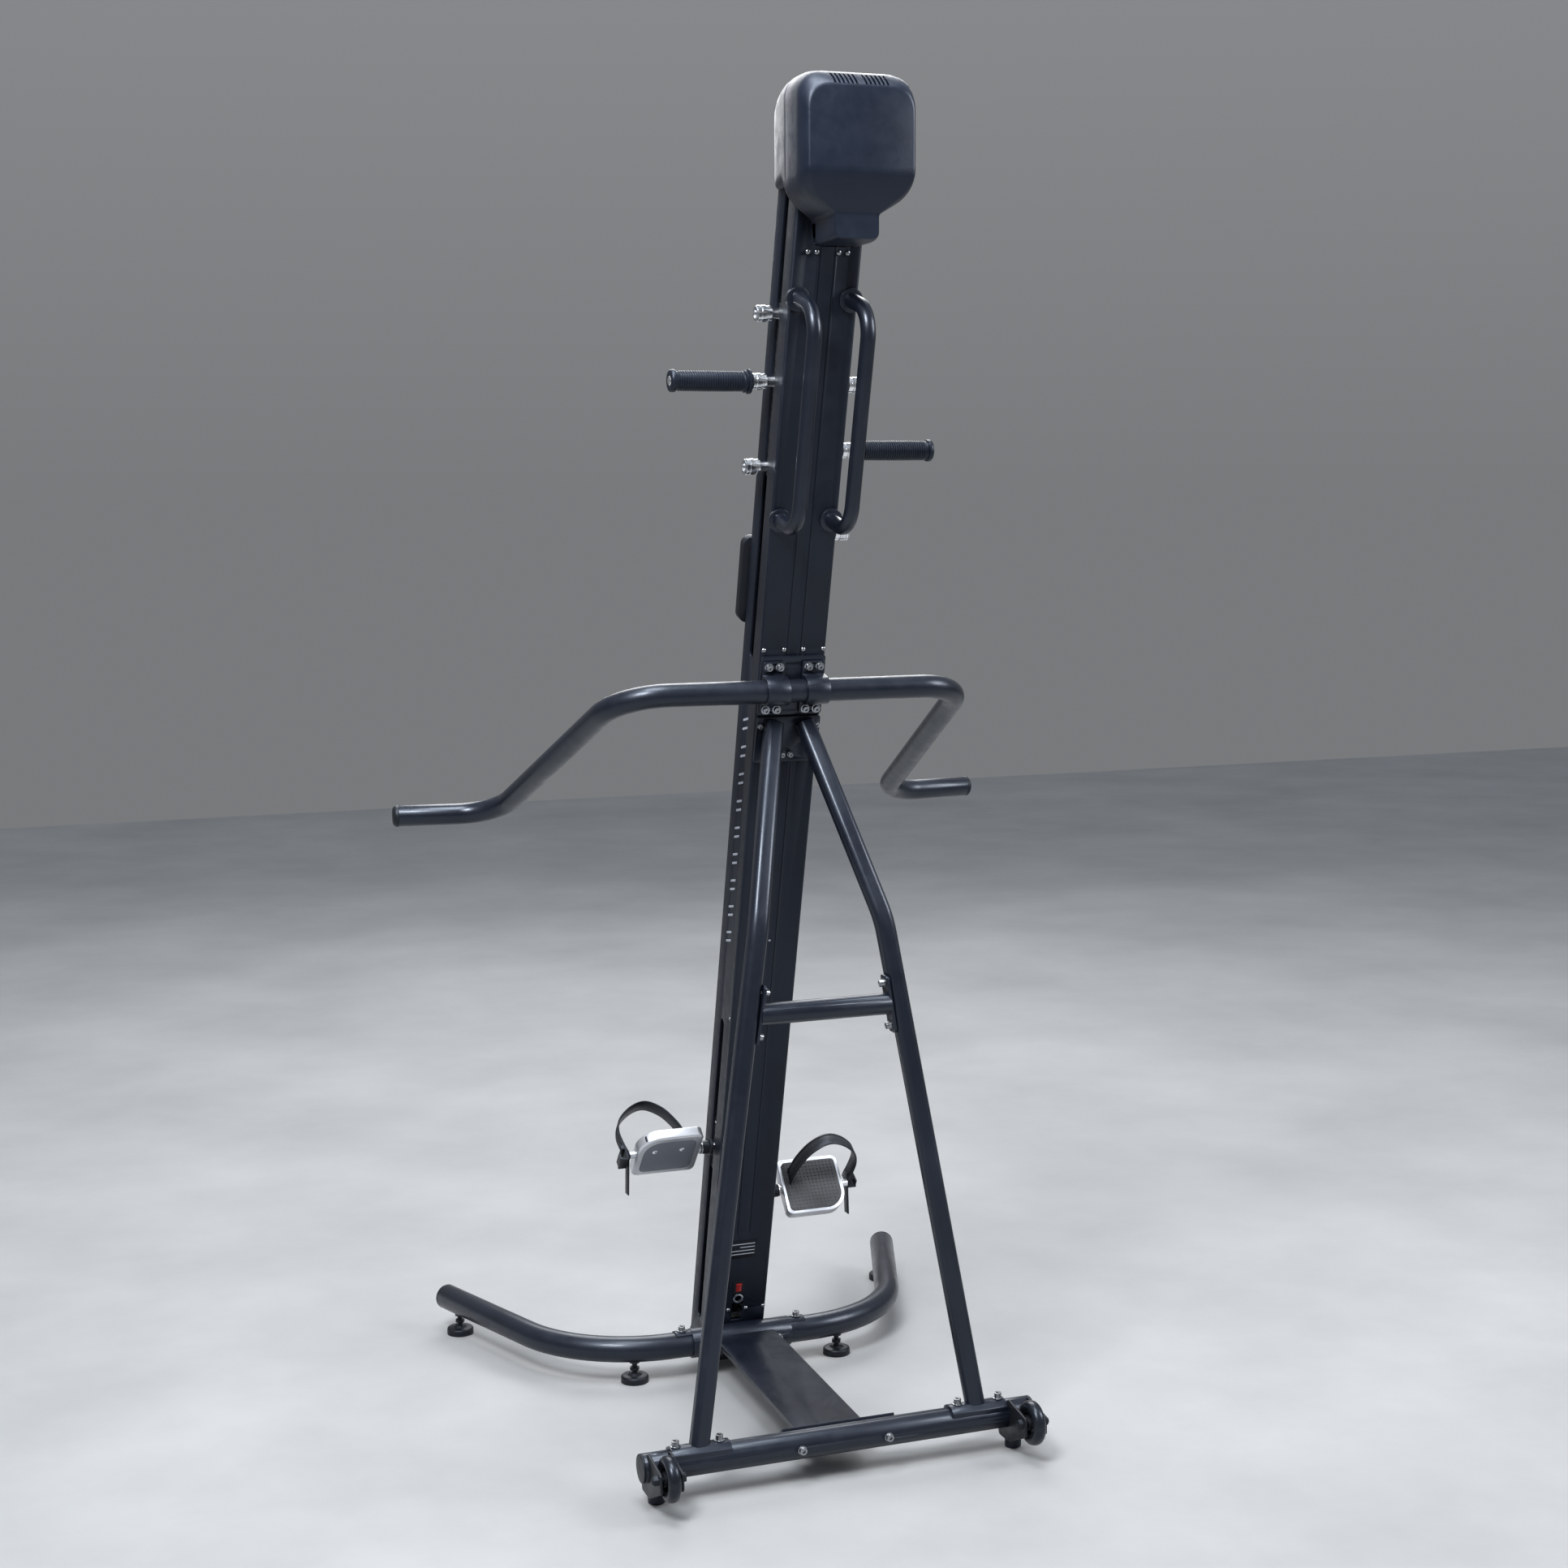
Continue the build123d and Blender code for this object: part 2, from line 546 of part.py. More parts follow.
# ---------------------------------------------------------------- foot carriages
def foot_carriage(level, strand):
    """Short carriage with the fixed pedal axle and its black hub."""
    body = carriage_body(level - 50, level + 50, strand)
    axle = rod_x(54, PEDAL_X + PEDAL_W - 8, MAST_MID, level, 8.0)
    hub = rod_x(63, 69, MAST_MID, level, 15) + rod_x(69, 84, MAST_MID, level, 12)
    return body + axle + hub


def pedal_outline(inset):
    """Plan of the pedal: three small corners and one large one at the outer toe."""
    r, big = 12.0 - inset / 2, 42.0 - inset
    x0, x1 = PEDAL_X + inset, PEDAL_X + PEDAL_W - inset
    y0, y1 = -PEDAL_L / 2 + inset, PEDAL_L / 2 - inset
    face = make_face(Polyline((x0, y0), (x1, y0), (x1, y1), (x0, y1), close=True))
    corners = face.vertices().sort_by(lambda v: v.X + v.Y)
    face = fillet(corners[-1], big)
    rest = [v for v in face.vertices() if v.X < x0 + 1 or v.Y < y0 + 1]
    rest = [v for v in rest if (v.X < x0 + 1 or v.X > x1 - 1) and (v.Y < y0 + 1 or v.Y > y1 - 1)]
    return fillet(rest, r)


def pedal_body():
    """Cast pedal, level, with the axle along X through the origin of the side view."""
    plan = pedal_outline(0)
    body = Pos(0, 0, -PEDAL_T / 2) * extrude(plan, amount=PEDAL_T)
    body = chamfer(body.edges().group_by(Axis.Z)[0], 3)
    body = fillet(body.edges().group_by(Axis.Z)[-1], 2)
    body -= Pos(0, 0, PEDAL_T / 2 - 2) * extrude(pedal_outline(7), amount=4)
    for y in (-36, 36):
        body -= Pos(PEDAL_X + PEDAL_W / 2, y, 0) * Box(PEDAL_W - 26, 26, PEDAL_T - 9)
    edge = PEDAL_X + PEDAL_W
    lug = rod_x(edge - 2, edge + STRAP_OUT - STRAP_T / 2 - GAP, 0, 0, 7)
    return body + lug - rod_x(PEDAL_X - 5, edge - 7, 0, 0, 8.06)


def pedal_pad():
    """Grip pad, let into the top of the pedal."""
    return Pos(0, 0, PEDAL_T / 2 - 1.9) * extrude(pedal_outline(7.4), amount=PAD_TOP - PEDAL_T / 2 + 1.9)


def pedal_strap(side):
    """Instep strap: up from the pad, over the foot to the buckle; its spare end hangs down."""
    inner, edge = STRAP_ROOT, PEDAL_X + PEDAL_W
    outer = edge + STRAP_OUT
    path = Spline(
        (inner, 0, 6), (inner + 14, 0, 60), (inner + 34, 0, 92), (inner + 63, 0, STRAP_HIGH),
        (outer - 2, 0, 78), (outer + 7, 0, 44), (outer + 1.2, 0, 12), (outer, 0, -12),
        tangents=[(0.1, 0, 1), (0, 0, -1)],
    )
    face = Plane(origin=path @ 0, x_dir=(0, 1, 0), z_dir=path % 0) * Rectangle(STRAP_W, STRAP_T)
    half = STRAP_T / 2
    tail = fillet(box(outer - half, outer + half, -12, 12, -76, 8).edges().filter_by(Axis.X), 6)
    hang = -PEDAL_TILT[side] - STRAP_LEAN[side]
    strap = strap_place(side) * (sweep(face, path) + Rot(hang, 0, 0) * tail)
    return strap - box(PEDAL_X - 6, edge + 1, -80, 80, -60, PAD_TOP)


def strap_place(side):
    """Strap's own frame on its pedal."""
    return Pos(0, STRAP_SHIFT[side], 0) * Rot(STRAP_LEAN[side], 0, 0)


def strap_buckle():
    """Cam lever with a hooked lip that pinches the strap at the pedal's outer edge."""
    x = PEDAL_X + PEDAL_W + STRAP_OUT + STRAP_T / 2 + 2.4
    plate = side_prism([(-15, -16), (15, -16), (15, 10), (-15, 10)], x, x + 3)
    roll = Pos(x + 5, 0, 10) * Rot(90, 0, 0) * Cylinder(4.5, 30)
    lip = side_prism([(-15, -19), (15, -19), (15, -15), (-15, -15)], x + 1, x + 17)
    hook = side_prism([(-13, -17), (13, -17), (13, -3), (-13, -3)], x + 13.5, x + 17)
    return fillet(plate.edges().filter_by(Axis.X), 2) + roll + lip + hook


def build_feet():
    """Both foot carriages and pedals."""
    for name, side in SIDES.items():
        level = FOOT_MID + side * LEFT_RIGHT_LEAD
        strand = MAST_MID - side * SPROCKET_R
        flip = (lambda s: s) if side > 0 else mirrored
        keep("foot_carriage_" + name, lean(flip(foot_carriage(level, strand))))
        hub = lean_point(0, MAST_MID, level)
        place = Pos(0, hub[1], hub[2]) * Rot(PEDAL_TILT[side], 0, 0)
        keep("pedal_" + name, flip(place * pedal_body()))
        keep("pedal_pad_" + name, flip(place * pedal_pad()))
        keep("pedal_strap_" + name, flip(place * pedal_strap(side)))
        keep("strap_buckle_" + name, flip(place * strap_place(side) * strap_buckle()))


# ---------------------------------------------------------------- drive
def loop_band(x, width, low, high, r_low, r_high, inside, thickness):
    """Closed band round two wheels; each end is (y, along), radii are the wheels'."""
    def hull(extra):
        a = Pos(*low) * Circle(r_low + extra)
        b = Pos(*high) * Circle(r_high + extra)
        return make_hull(a.edges() + b.edges())
    ring = hull(inside + thickness) - hull(inside)
    band = extrude(Plane.YZ * ring, amount=width)
    return Pos(x - width / 2, 0, 0) * band


def drive_chains():
    """One chain loop on each side, between the top and bottom sprockets."""
    inside = -CHAIN_T / 2
    chain = loop_band(
        CHAIN_X, CHAIN_W, (MAST_MID, IDLER_S), (MAST_MID, SHAFT_S), SPROCKET_R, SPROCKET_R, inside, CHAIN_T
    )
    return [lean(chain), lean(mirrored(chain))]


def sprocket(along):
    """Chain wheel that runs inside the chain loop."""
    wheel = rod_x(CHAIN_X - 3, CHAIN_X + 3, MAST_MID, along, SPROCKET_R - CHAIN_T / 2 - GAP)
    return wheel + rod_x(CHAIN_X - 8, CHAIN_X + 8, MAST_MID, along, 14)


def drive_shaft():
    """Top shaft through both bearing blocks."""
    return lean(rod_x(-58, 72, MAST_MID, SHAFT_S, 8.5))


def drive_sprockets():
    """Two sprockets and the belt pulley, keyed to the top shaft."""
    bore = rod_x(-80, 80, MAST_MID, SHAFT_S, 8.5)
    wheels = [sprocket(SHAFT_S) - bore, mirrored(sprocket(SHAFT_S)) - bore]
    half = BELT_W / 2
    wheels.append(rod_x(BELT_X - half, BELT_X + half, MAST_MID, SHAFT_S, PULLEY_R) - bore)
    return [lean(wheel) for wheel in wheels]


def shaft_bearings():
    """Bearing blocks at the top, and the bottom axle that the idlers turn on."""
    block = box(42, MAST_W / 2 - MAST_WALL, -MAST_D + MAST_WALL, -MAST_WALL, SHAFT_S - 22, MAST_TOP - 3)
    block -= rod_x(40, 60, MAST_MID, SHAFT_S, 8.56)
    axle = rod_x(-56, 56, MAST_MID, IDLER_S, 7.0)
    return [lean(block), lean(mirrored(block)), lean(axle)]


def idler_sprockets():
    """Bottom sprockets, joined by a spacer so that they turn as one."""
    wheel = sprocket(IDLER_S) + rod_x(-CHAIN_X, CHAIN_X, MAST_MID, IDLER_S, 11)
    wheel += mirrored(sprocket(IDLER_S))
    return lean(wheel - rod_x(-80, 80, MAST_MID, IDLER_S, 7.06))


def flywheel():
    """Brake disc, its shaft and its small belt pulley."""
    y, along = FLYWHEEL_AT
    shaft = rod_x(-36, 72, y, along, 6.0)
    disc = rod_x(-8, 8, y, along, FLYWHEEL_R) - rod_x(5, 9, y, along, FLYWHEEL_R - 9)
    disc += rod_x(4, 12, y, along, 14)
    pulley = rod_x(BELT_X - BELT_W / 2, BELT_X + BELT_W / 2, y, along, FLYWHEEL_PULLEY_R)
    return lean(shaft + disc + pulley)


def brake_yoke():
    """Bracket behind the column that carries the flywheel and the brake magnets."""
    y, along = FLYWHEEL_AT
    yoke = box(-34, 34, 0, 5, along - 40, along + 24)
    for x in (-32, 32):
        outline = [(5, along - 34), (y + 14, along - 14), (y + 14, along + 14), (5, along + 22)]
        ear = side_prism(outline, x - 2, x + 2)
        yoke += ear - rod_x(x - 5, x + 5, y, along, 6.06)
    for x in (-14, 14):
        yoke += box(x - 3, x + 3, 5, 34, along - 38, along - 22)
    return lean(yoke)


def drive_belt():
    """Belt from the top pulley to the flywheel pulley."""
    ends = (MAST_MID, SHAFT_S), FLYWHEEL_AT
    return lean(loop_band(BELT_X, BELT_W, *ends, PULLEY_R, FLYWHEEL_PULLEY_R, GAP, 2.2))


# ---------------------------------------------------------------- head covers
HEAD_LOW = 2168.0             # where the head narrows, down to HEAD_WAIST
HEAD_WAIST = 2134.0
HEAD_BOTTOM = 2094.0
HEAD_NECK = 40.0
# each section from front to rear: y, half width, top, corner radius, rise of the lower edge
HEAD_SECTIONS = [
    (482.0, 66.0, 2352.0, 50.0, 0.0), (540.0, 79.0, 2352.0, 52.0, 0.0), (650.0, 92.0, 2352.0, 54.0, 0.0),
    (690.0, 92.0, 2334.0, 50.0, 0.0), (712.0, 74.0, 2310.0, 32.0, 8.0),
]


def head_section(inset, y, half, top, corner, rise):
    """One upright section of the head: a round-cornered box above a narrow neck."""
    i = inset
    half, top, neck = half - i, top - i, HEAD_NECK - i
    low, waist, bottom = HEAD_LOW + rise + i / 2, HEAD_WAIST + i / 2, HEAD_BOTTOM + i
    face = make_face(Polyline(
        (-half, top), (half, top), (half, low), (neck, waist), (neck, bottom),
        (-neck, bottom), (-neck, waist), (-half, low), close=True))
    tops = [v for v in face.vertices() if v.Y > top - 1]
    face = fillet(tops, corner - i)
    lows = [v for v in face.vertices() if abs(v.Y - low) < 1]
    return Pos(0, y, 0) * (Plane.XZ * fillet(lows, 24))


def head_solid(inset):
    """Outer form of the head, or the same form drawn in by a wall."""
    i = inset
    rear = HEAD_SECTIONS[-1][0] - i
    shift = [i, 0, 0, -i / 2, -i]
    sections = [head_section(i, y + move, *rest) for (y, *rest), move in zip(HEAD_SECTIONS, shift)]
    body = Part() + [loft([a, b], ruled=True) for a, b in zip(sections, sections[1:])]
    outline = [
        (470 + i, 2193 + i), (590, 2176 + i), (556 + i, 2094 + i),
        (rear - 20, 2094 + i), (rear - 20, 2138 + i / 2),
        (rear, 2168), (rear + 5, 2400), (560, 2400), (484 + i, 2302 - i),
    ]
    side = side_prism(outline, -200, 200)
    return body & side


def head_shell():
    """Hollow head with the column's clearance cut out of it."""
    shell = head_solid(0) - head_solid(3.2)
    column = lean(box(-MAST_W / 2 - GAP, MAST_W / 2 + GAP, -MAST_D - GAP, GAP, 2000, MAST_TOP + 1))
    shell -= column
    shell -= lean(box(-38, 38, -1, 14, 2194, 2320))
    for group in (-1, 1):
        for k in range(6):
            x = group * 24 + (k - 2.5) * 7
            shell -= Pos(x, 683, 2320) * Rot(-20, 0, 0) * Box(3.4, 30, 30)
    return shell


def build_head():
    """Front and rear covers, parted along a vertical plane."""
    shell = head_shell()
    parting = 612.0
    keep("head_rear_cover", shell & box(-200, 200, parting, 900, 2000, 2500))
    keep("head_front_cover", shell & box(-200, 200, 300, parting, 2000, 2500))


# ---------------------------------------------------------------- console
CONSOLE = dict(half=70.0, low=1508.0, high=1662.0, back=-MAST_D - 5, front=-MAST_D - 27)


def console_housing():
    """Thin display housing on the climber's side of the column, on a short foot."""
    c = CONSOLE
    body = box(-c["half"], c["half"], c["front"], c["back"], c["low"], c["high"])
    body = fillet(body.edges().filter_by(Axis.Y), 16)
    body = fillet(body.edges().group_by(Axis.Y)[0], 5)
    body -= box(-52, 52, c["front"] - 1, c["front"] + 3, 1578, 1642)
    body -= Pos(0, c["front"], 1542) * Rot(90, 0, 0) * Cylinder(14.3, 20)
    foot = box(-40, 40, c["back"], -MAST_D, 1540, 1630)
    return lean(body + foot)


def console_screen():
    """Window over the display."""
    return lean(box(-51.7, 51.7, CONSOLE["front"] + 0.6, CONSOLE["front"] + 3, 1578.3, 1641.7))


def console_button():
    """Round mode button."""
    button = Pos(0, CONSOLE["front"] + 1.5, 1542) * Rot(90, 0, 0) * Cylinder(14, 9)
    return lean(fillet(button.edges().group_by(Axis.Y)[0], 1.5))


# ---------------------------------------------------------------- assembly
def build_frame():
    """Every fixed piece."""
    place_fasteners()
    keep("cross_brace", drilled(cross_brace()))
    keep("mast_column", mast_column())
    keep("rating_plate", rating_plate())
    keep("power_socket", power_socket())
    keep("base_sleeve", base_sleeve())
    leg = drilled(front_leg())
    keep("front_leg_right", leg)
    keep("front_leg_left", mirrored(leg))
    keep("spine_plate", spine_plate())
    keep("rear_cross_tube", rear_cross_tube())
    caps = both(front_cap()) + both(rear_cap()) + both(handlebar_cap()) + [mast_bottom_cap()]
    keep("end_caps", *caps)
    keep("wheel_brackets", *both(wheel_bracket()))
    keep("rear_feet", *both(rear_foot()))
    support = support_leg()
    keep("support_leg_right", support)
    keep("support_leg_left", mirrored(support))
    keep("frame_top_plate", frame_top_plate())
    keep("handlebar", handlebar())
    keep("handlebar_plate", handlebar_plate())
    keep("handlebar_clamps", *both(handlebar_clamp()))
    keep("grab_loops", *both(grab_loop()))
    keep("fasteners", *BOLTS)


def build_drive():
    """Shafts, sprockets, chains and brake."""
    keep("drive_shaft", drive_shaft())
    keep("drive_sprockets", *drive_sprockets())
    keep("shaft_bearings", *shaft_bearings())
    keep("idler_sprockets", idler_sprockets())
    keep("drive_chains", *drive_chains())
    keep("flywheel", flywheel())
    keep("brake_yoke", brake_yoke())
    keep("drive_belt", drive_belt())


def build_small_movers():
    """Wheels, feet, button and switch."""
    for name, side in SIDES.items():
        wheel = transport_wheel()
        keep("transport_wheel_" + name, wheel if side > 0 else mirrored(wheel))
        for label, (x, y) in zip(("inner", "outer"), foot_places()):
            keep(f"levelling_foot_{name}_{label}", levelling_foot(side * x, y))
    keep("power_rocker", power_rocker())
    keep("console_housing", console_housing())
    keep("console_screen", console_screen())
    keep("console_button", console_button())


build_frame()
build_drive()
build_head()
build_hands()
build_feet()
build_small_movers()
for node, shape in NODES.items():
    export_step(shape, f"parts/{node}.step")
whole = Compound(children=list(NODES.values())).bounding_box()
print(len(NODES), "nodes", [round(v, 1) for v in (*whole.min, *whole.max)])
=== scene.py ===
import json
import math

import bmesh
import bpy
from mathutils import Matrix, Vector


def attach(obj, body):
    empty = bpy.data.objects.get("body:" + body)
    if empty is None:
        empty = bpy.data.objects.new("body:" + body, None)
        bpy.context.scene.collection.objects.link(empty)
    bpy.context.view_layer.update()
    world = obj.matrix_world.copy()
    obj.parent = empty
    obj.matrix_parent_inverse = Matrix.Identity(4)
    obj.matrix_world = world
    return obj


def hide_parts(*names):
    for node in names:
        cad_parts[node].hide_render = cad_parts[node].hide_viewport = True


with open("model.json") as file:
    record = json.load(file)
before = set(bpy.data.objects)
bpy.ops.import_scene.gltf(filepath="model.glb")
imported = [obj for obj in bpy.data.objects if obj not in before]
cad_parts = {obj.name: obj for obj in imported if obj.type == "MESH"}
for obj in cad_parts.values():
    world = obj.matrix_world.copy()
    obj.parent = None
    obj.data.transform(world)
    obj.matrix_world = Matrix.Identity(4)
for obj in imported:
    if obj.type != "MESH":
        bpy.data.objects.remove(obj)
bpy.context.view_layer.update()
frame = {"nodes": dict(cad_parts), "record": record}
NODES = frame["nodes"]

# ---------------------------------------------------------------- the object's own dimensions (metres)
LEAN = math.radians(15.0)
ORIGIN_Y = 0.1487
MAST_MID = -0.048
MAST_HALF = 0.060
MAST_DEPTH = 0.096
HAND_LEVEL = {1: 1.9425, -1: 1.8265}
FOOT_LEVEL = {1: 0.475, -1: 0.359}
SOCKET_STEPS = (0.1115, 0.0, -0.1435)      # sockets above and below the grip's own
INLET_LEVEL = 0.151
PEDAL_TILT = {1: math.radians(50.0), -1: math.radians(-50.0)}
STRAP_LEAN = {1: 0.0, -1: math.radians(20.0)}
STRAP_SHIFT = {1: 0.0, -1: -0.014}
STRAP_W = 0.030
STRAP_T = 0.0024
STRAP_ROOT = 0.107
PEDAL_X0, PEDAL_X1 = 0.090, 0.216
PEDAL_HALF = 0.058
PEDAL_CORNER = 0.042        # the one large corner, at the outer toe
PAD_TOP = 0.0126
WHEEL_CENTRE = (0.338, 0.667, 0.074)
SPOKES = 5
SIDES = {"right": 1, "left": -1}

# frames: the leaning column's own axes (x, rearwards, along) in the world
MAST = Matrix.Translation((0, -ORIGIN_Y, 0)) @ Matrix.Rotation(-LEAN, 4, "X")


def hub_frame(side):
    """World matrix at a pedal's axle, turned with the pedal."""
    origin = MAST @ Vector((0, MAST_MID, FOOT_LEVEL[side]))
    return Matrix.Translation(origin) @ Matrix.Rotation(PEDAL_TILT[side], 4, "X")


def strap_frame(side):
    """World matrix of a strap's upright plane, moved and swung on its pedal."""
    swing = Matrix.Rotation(STRAP_LEAN[side], 4, "X")
    return hub_frame(side) @ Matrix.Translation((0, STRAP_SHIFT[side], 0)) @ swing


# ---------------------------------------------------------------- materials
def material(name, color, rough, metal=0.0, **extra):
    """Principled material with the constants set on its own sockets; returns it and its nodes."""
    m = bpy.data.materials.new(name)
    m.use_nodes = True
    tree = m.node_tree
    shader = tree.nodes["Principled BSDF"]
    shader.inputs["Base Color"].default_value = (*color, 1)
    shader.inputs["Roughness"].default_value = rough
    shader.inputs["Metallic"].default_value = metal
    for key, value in extra.items():
        shader.inputs[key.replace("_", " ")].default_value = value
    return m, tree, shader


def noise(tree, scale, detail, rough, stretch=(1, 1, 1)):
    """Noise in the object's own coordinates, stretched along an axis if asked."""
    coord = tree.nodes.new("ShaderNodeTexCoord")
    mapping = tree.nodes.new("ShaderNodeMapping")
    mapping.inputs["Scale"].default_value = stretch
    tex = tree.nodes.new("ShaderNodeTexNoise")
    tex.inputs["Scale"].default_value = scale
    tex.inputs["Detail"].default_value = detail
    tex.inputs["Roughness"].default_value = rough
    tree.links.new(coord.outputs["Object"], mapping.inputs["Vector"])
    tree.links.new(mapping.outputs["Vector"], tex.inputs["Vector"])
    return tex.outputs["Fac"]


def ramp(tree, source, stops):
    """Colour ramp over a value; stops are (place, colour or grey)."""
    node = tree.nodes.new("ShaderNodeValToRGB")
    elements = node.color_ramp.elements
    while len(elements) < len(stops):
        elements.new(0.5)
    for element, (place, tone) in zip(elements, stops):
        element.position = place
        rgb = (tone, tone, tone) if isinstance(tone, (int, float)) else tone
        element.color = (*rgb, 1)
    tree.links.new(source, node.inputs["Fac"])
    return node.outputs["Color"]


def bumps(tree, shader, layers):
    """Chain of bump nodes; each layer is (height, distance in metres, strength)."""
    last = None
    for height, distance, strength in layers:
        node = tree.nodes.new("ShaderNodeBump")
        node.inputs["Distance"].default_value = distance
        node.inputs["Strength"].default_value = strength
        tree.links.new(height, node.inputs["Height"])
        if last is not None:
            tree.links.new(last, node.inputs["Normal"])
        last = node.outputs["Normal"]
    tree.links.new(last, shader.inputs["Normal"])


def worn(name, base, light, rough, peel, metal, peel_strength, **extra):
    """A finish whose tone and gloss drift over the part, with fine grain and a few dusty patches."""
    m, tree, shader = material(name, base, rough, metal, **extra)
    cloud = noise(tree, 7.0, 6.0, 0.62)
    dust = noise(tree, 46.0, 8.0, 0.7)
    grain = noise(tree, peel, 2.0, 0.5)
    tone = ramp(tree, cloud, [(0.3, base), (0.72, light)])
    tree.links.new(tone, shader.inputs["Base Color"])
    mixed = tree.nodes.new("ShaderNodeMath")
    mixed.operation = "MULTIPLY"
    tree.links.new(cloud, mixed.inputs[0])
    tree.links.new(dust, mixed.inputs[1])
    smooth, dull = max(rough - 0.08, 0.03), min(rough + 0.14, 1.0)
    gloss = ramp(tree, mixed.outputs[0], [(0.1, smooth), (0.42, dull)])
    tree.links.new(gloss, shader.inputs["Roughness"])
    bumps(tree, shader, [(grain, 0.0003, peel_strength), (dust, 0.0004, 0.06)])
    return m


def brushed(name, base, rough, stretch, strength=0.2):
    """Machined or drawn metal, its fine lines along one axis."""
    m, tree, shader = material(name, base, rough, 1.0)
    lines = noise(tree, 420.0, 3.0, 0.6, stretch)
    smudge = noise(tree, 30.0, 5.0, 0.6)
    gloss = ramp(tree, lines, [(0.3, rough - 0.08), (0.75, rough + 0.1)])
    tree.links.new(gloss, shader.inputs["Roughness"])
    dark = tuple(v * 0.78 for v in base)
    tree.links.new(ramp(tree, smudge, [(0.3, dark), (0.65, base)]), shader.inputs["Base Color"])
    bumps(tree, shader, [(lines, 0.0001, strength)])
    return m


# each finish: name, tone, lighter tone, roughness, grain size, metallic, grain strength
BLUE = (0.78, 0.86, 1.0, 1.0)
PAINT = worn(
    "frame_paint", (0.0030, 0.0042, 0.0085), (0.0056, 0.0076, 0.0140), 0.33, 900.0, 0.0, 0.25,
    Specular_IOR_Level=0.5, Specular_Tint=BLUE, Coat_Weight=0.1,
)
MAST_PAINT = worn(
    "column_paint", (0.0024, 0.0036, 0.0076), (0.0046, 0.0066, 0.0125), 0.42, 1500.0, 0.0, 0.55,
    Specular_Tint=BLUE, Specular_IOR_Level=0.4,
)
COVER = worn(
    "cover_plastic", (0.0044, 0.0068, 0.0145), (0.0070, 0.0105, 0.0210), 0.36, 1300.0, 0.0, 0.45,
    Specular_Tint=BLUE, Specular_IOR_Level=0.45,
)
BLACK = worn(
    "black_plastic", (0.0050, 0.0055, 0.0070), (0.0095, 0.0102, 0.0125), 0.44, 1500.0, 0.0, 0.3,
    Specular_Tint=BLUE, Specular_IOR_Level=0.35,
)
RUBBER = worn(
    "grip_rubber", (0.0036, 0.0052, 0.0105), (0.0066, 0.0092, 0.0165), 0.42, 1100.0, 0.0, 0.3,
    Specular_Tint=BLUE, Specular_IOR_Level=0.4,
)
PAD = worn("pad_rubber", (0.035, 0.036, 0.039), (0.075, 0.076, 0.08), 0.78, 1600.0, 0.0, 0.8)
STRAP = worn(
    "strap_rubber", (0.0085, 0.0088, 0.0100), (0.018, 0.0185, 0.0205), 0.38, 1200.0, 0.0, 0.3,
    Specular_Tint=BLUE, Specular_IOR_Level=0.4,
)
WHEEL = worn(
    "wheel_rubber", (0.0045, 0.0054, 0.0080), (0.0085, 0.0098, 0.0135), 0.27, 700.0, 0.0, 0.1,
    Specular_Tint=BLUE, Specular_IOR_Level=0.4,
)
CAST = worn("pedal_aluminium", (0.60, 0.61, 0.64), (0.80, 0.81, 0.84), 0.34, 700.0, 0.9, 0.4)
CHROME = worn("socket_chrome", (0.78, 0.79, 0.81), (0.88, 0.89, 0.9), 0.12, 500.0, 1.0, 0.04)
ZINC = brushed("carriage_steel", (0.55, 0.56, 0.58), 0.3, (0.05, 1, 1))
STEEL = brushed("machined_steel", (0.42, 0.42, 0.44), 0.33, (1, 1, 0.15))
FOIL = brushed("plate_foil", (0.030, 0.033, 0.040), 0.40, (0.04, 1, 1), 0.08)
GLASS = worn(
    "screen_glass", (0.010, 0.014, 0.013), (0.014, 0.019, 0.017), 0.2, 900.0, 0.0, 0.01,
    Specular_IOR_Level=0.3,
)
RED = worn("rocker_red", (0.24, 0.012, 0.012), (0.32, 0.018, 0.016), 0.28, 900.0, 0.0, 0.1)
DECAL = worn("side_decal", (0.30, 0.32, 0.36), (0.38, 0.40, 0.45), 0.35, 900.0, 0.0, 0.1)
# painted shade: a darker grey for the pedal's underside, where it faces down away from the lights
UNDERSIDE_SHADE = worn("pedal_underside_shade_grey", (0.15, 0.16, 0.19), (0.20, 0.215, 0.25), 0.42, 900.0, 0.3, 0.5)
BOLT = brushed("bolt_zinc", (0.34, 0.35, 0.37), 0.28, (1, 1, 0.4))

SLOT_MATERIAL = {
    "frame_paint": PAINT, "cover_plastic": COVER, "black_plastic": BLACK, "grip_rubber": RUBBER,
    "pad_rubber": PAD, "strap_rubber": STRAP, "wheel_rubber": WHEEL, "pedal_aluminium": CAST,
    "socket_chrome": CHROME, "carriage_steel": ZINC, "machined_steel": STEEL, "plate_foil": FOIL,
    "screen_glass": GLASS, "rocker_red": RED,
}
NODE_SLOT = {s["node"]: s["material_slot"] for s in frame["record"]["subparts"]}


# ---------------------------------------------------------------- mesh helpers
WELD = 0.00002              # split edges closer than this are one
QUARTER = math.radians(90)
BOX_FACES = [(3, 2, 1, 0), (4, 5, 6, 7)] + [(i, (i + 1) % 4, 4 + (i + 1) % 4, 4 + i) for i in range(4)]


def dress(obj, mat):
    """Give a piece one material."""
    obj.data.materials.clear()
    obj.data.materials.append(mat)


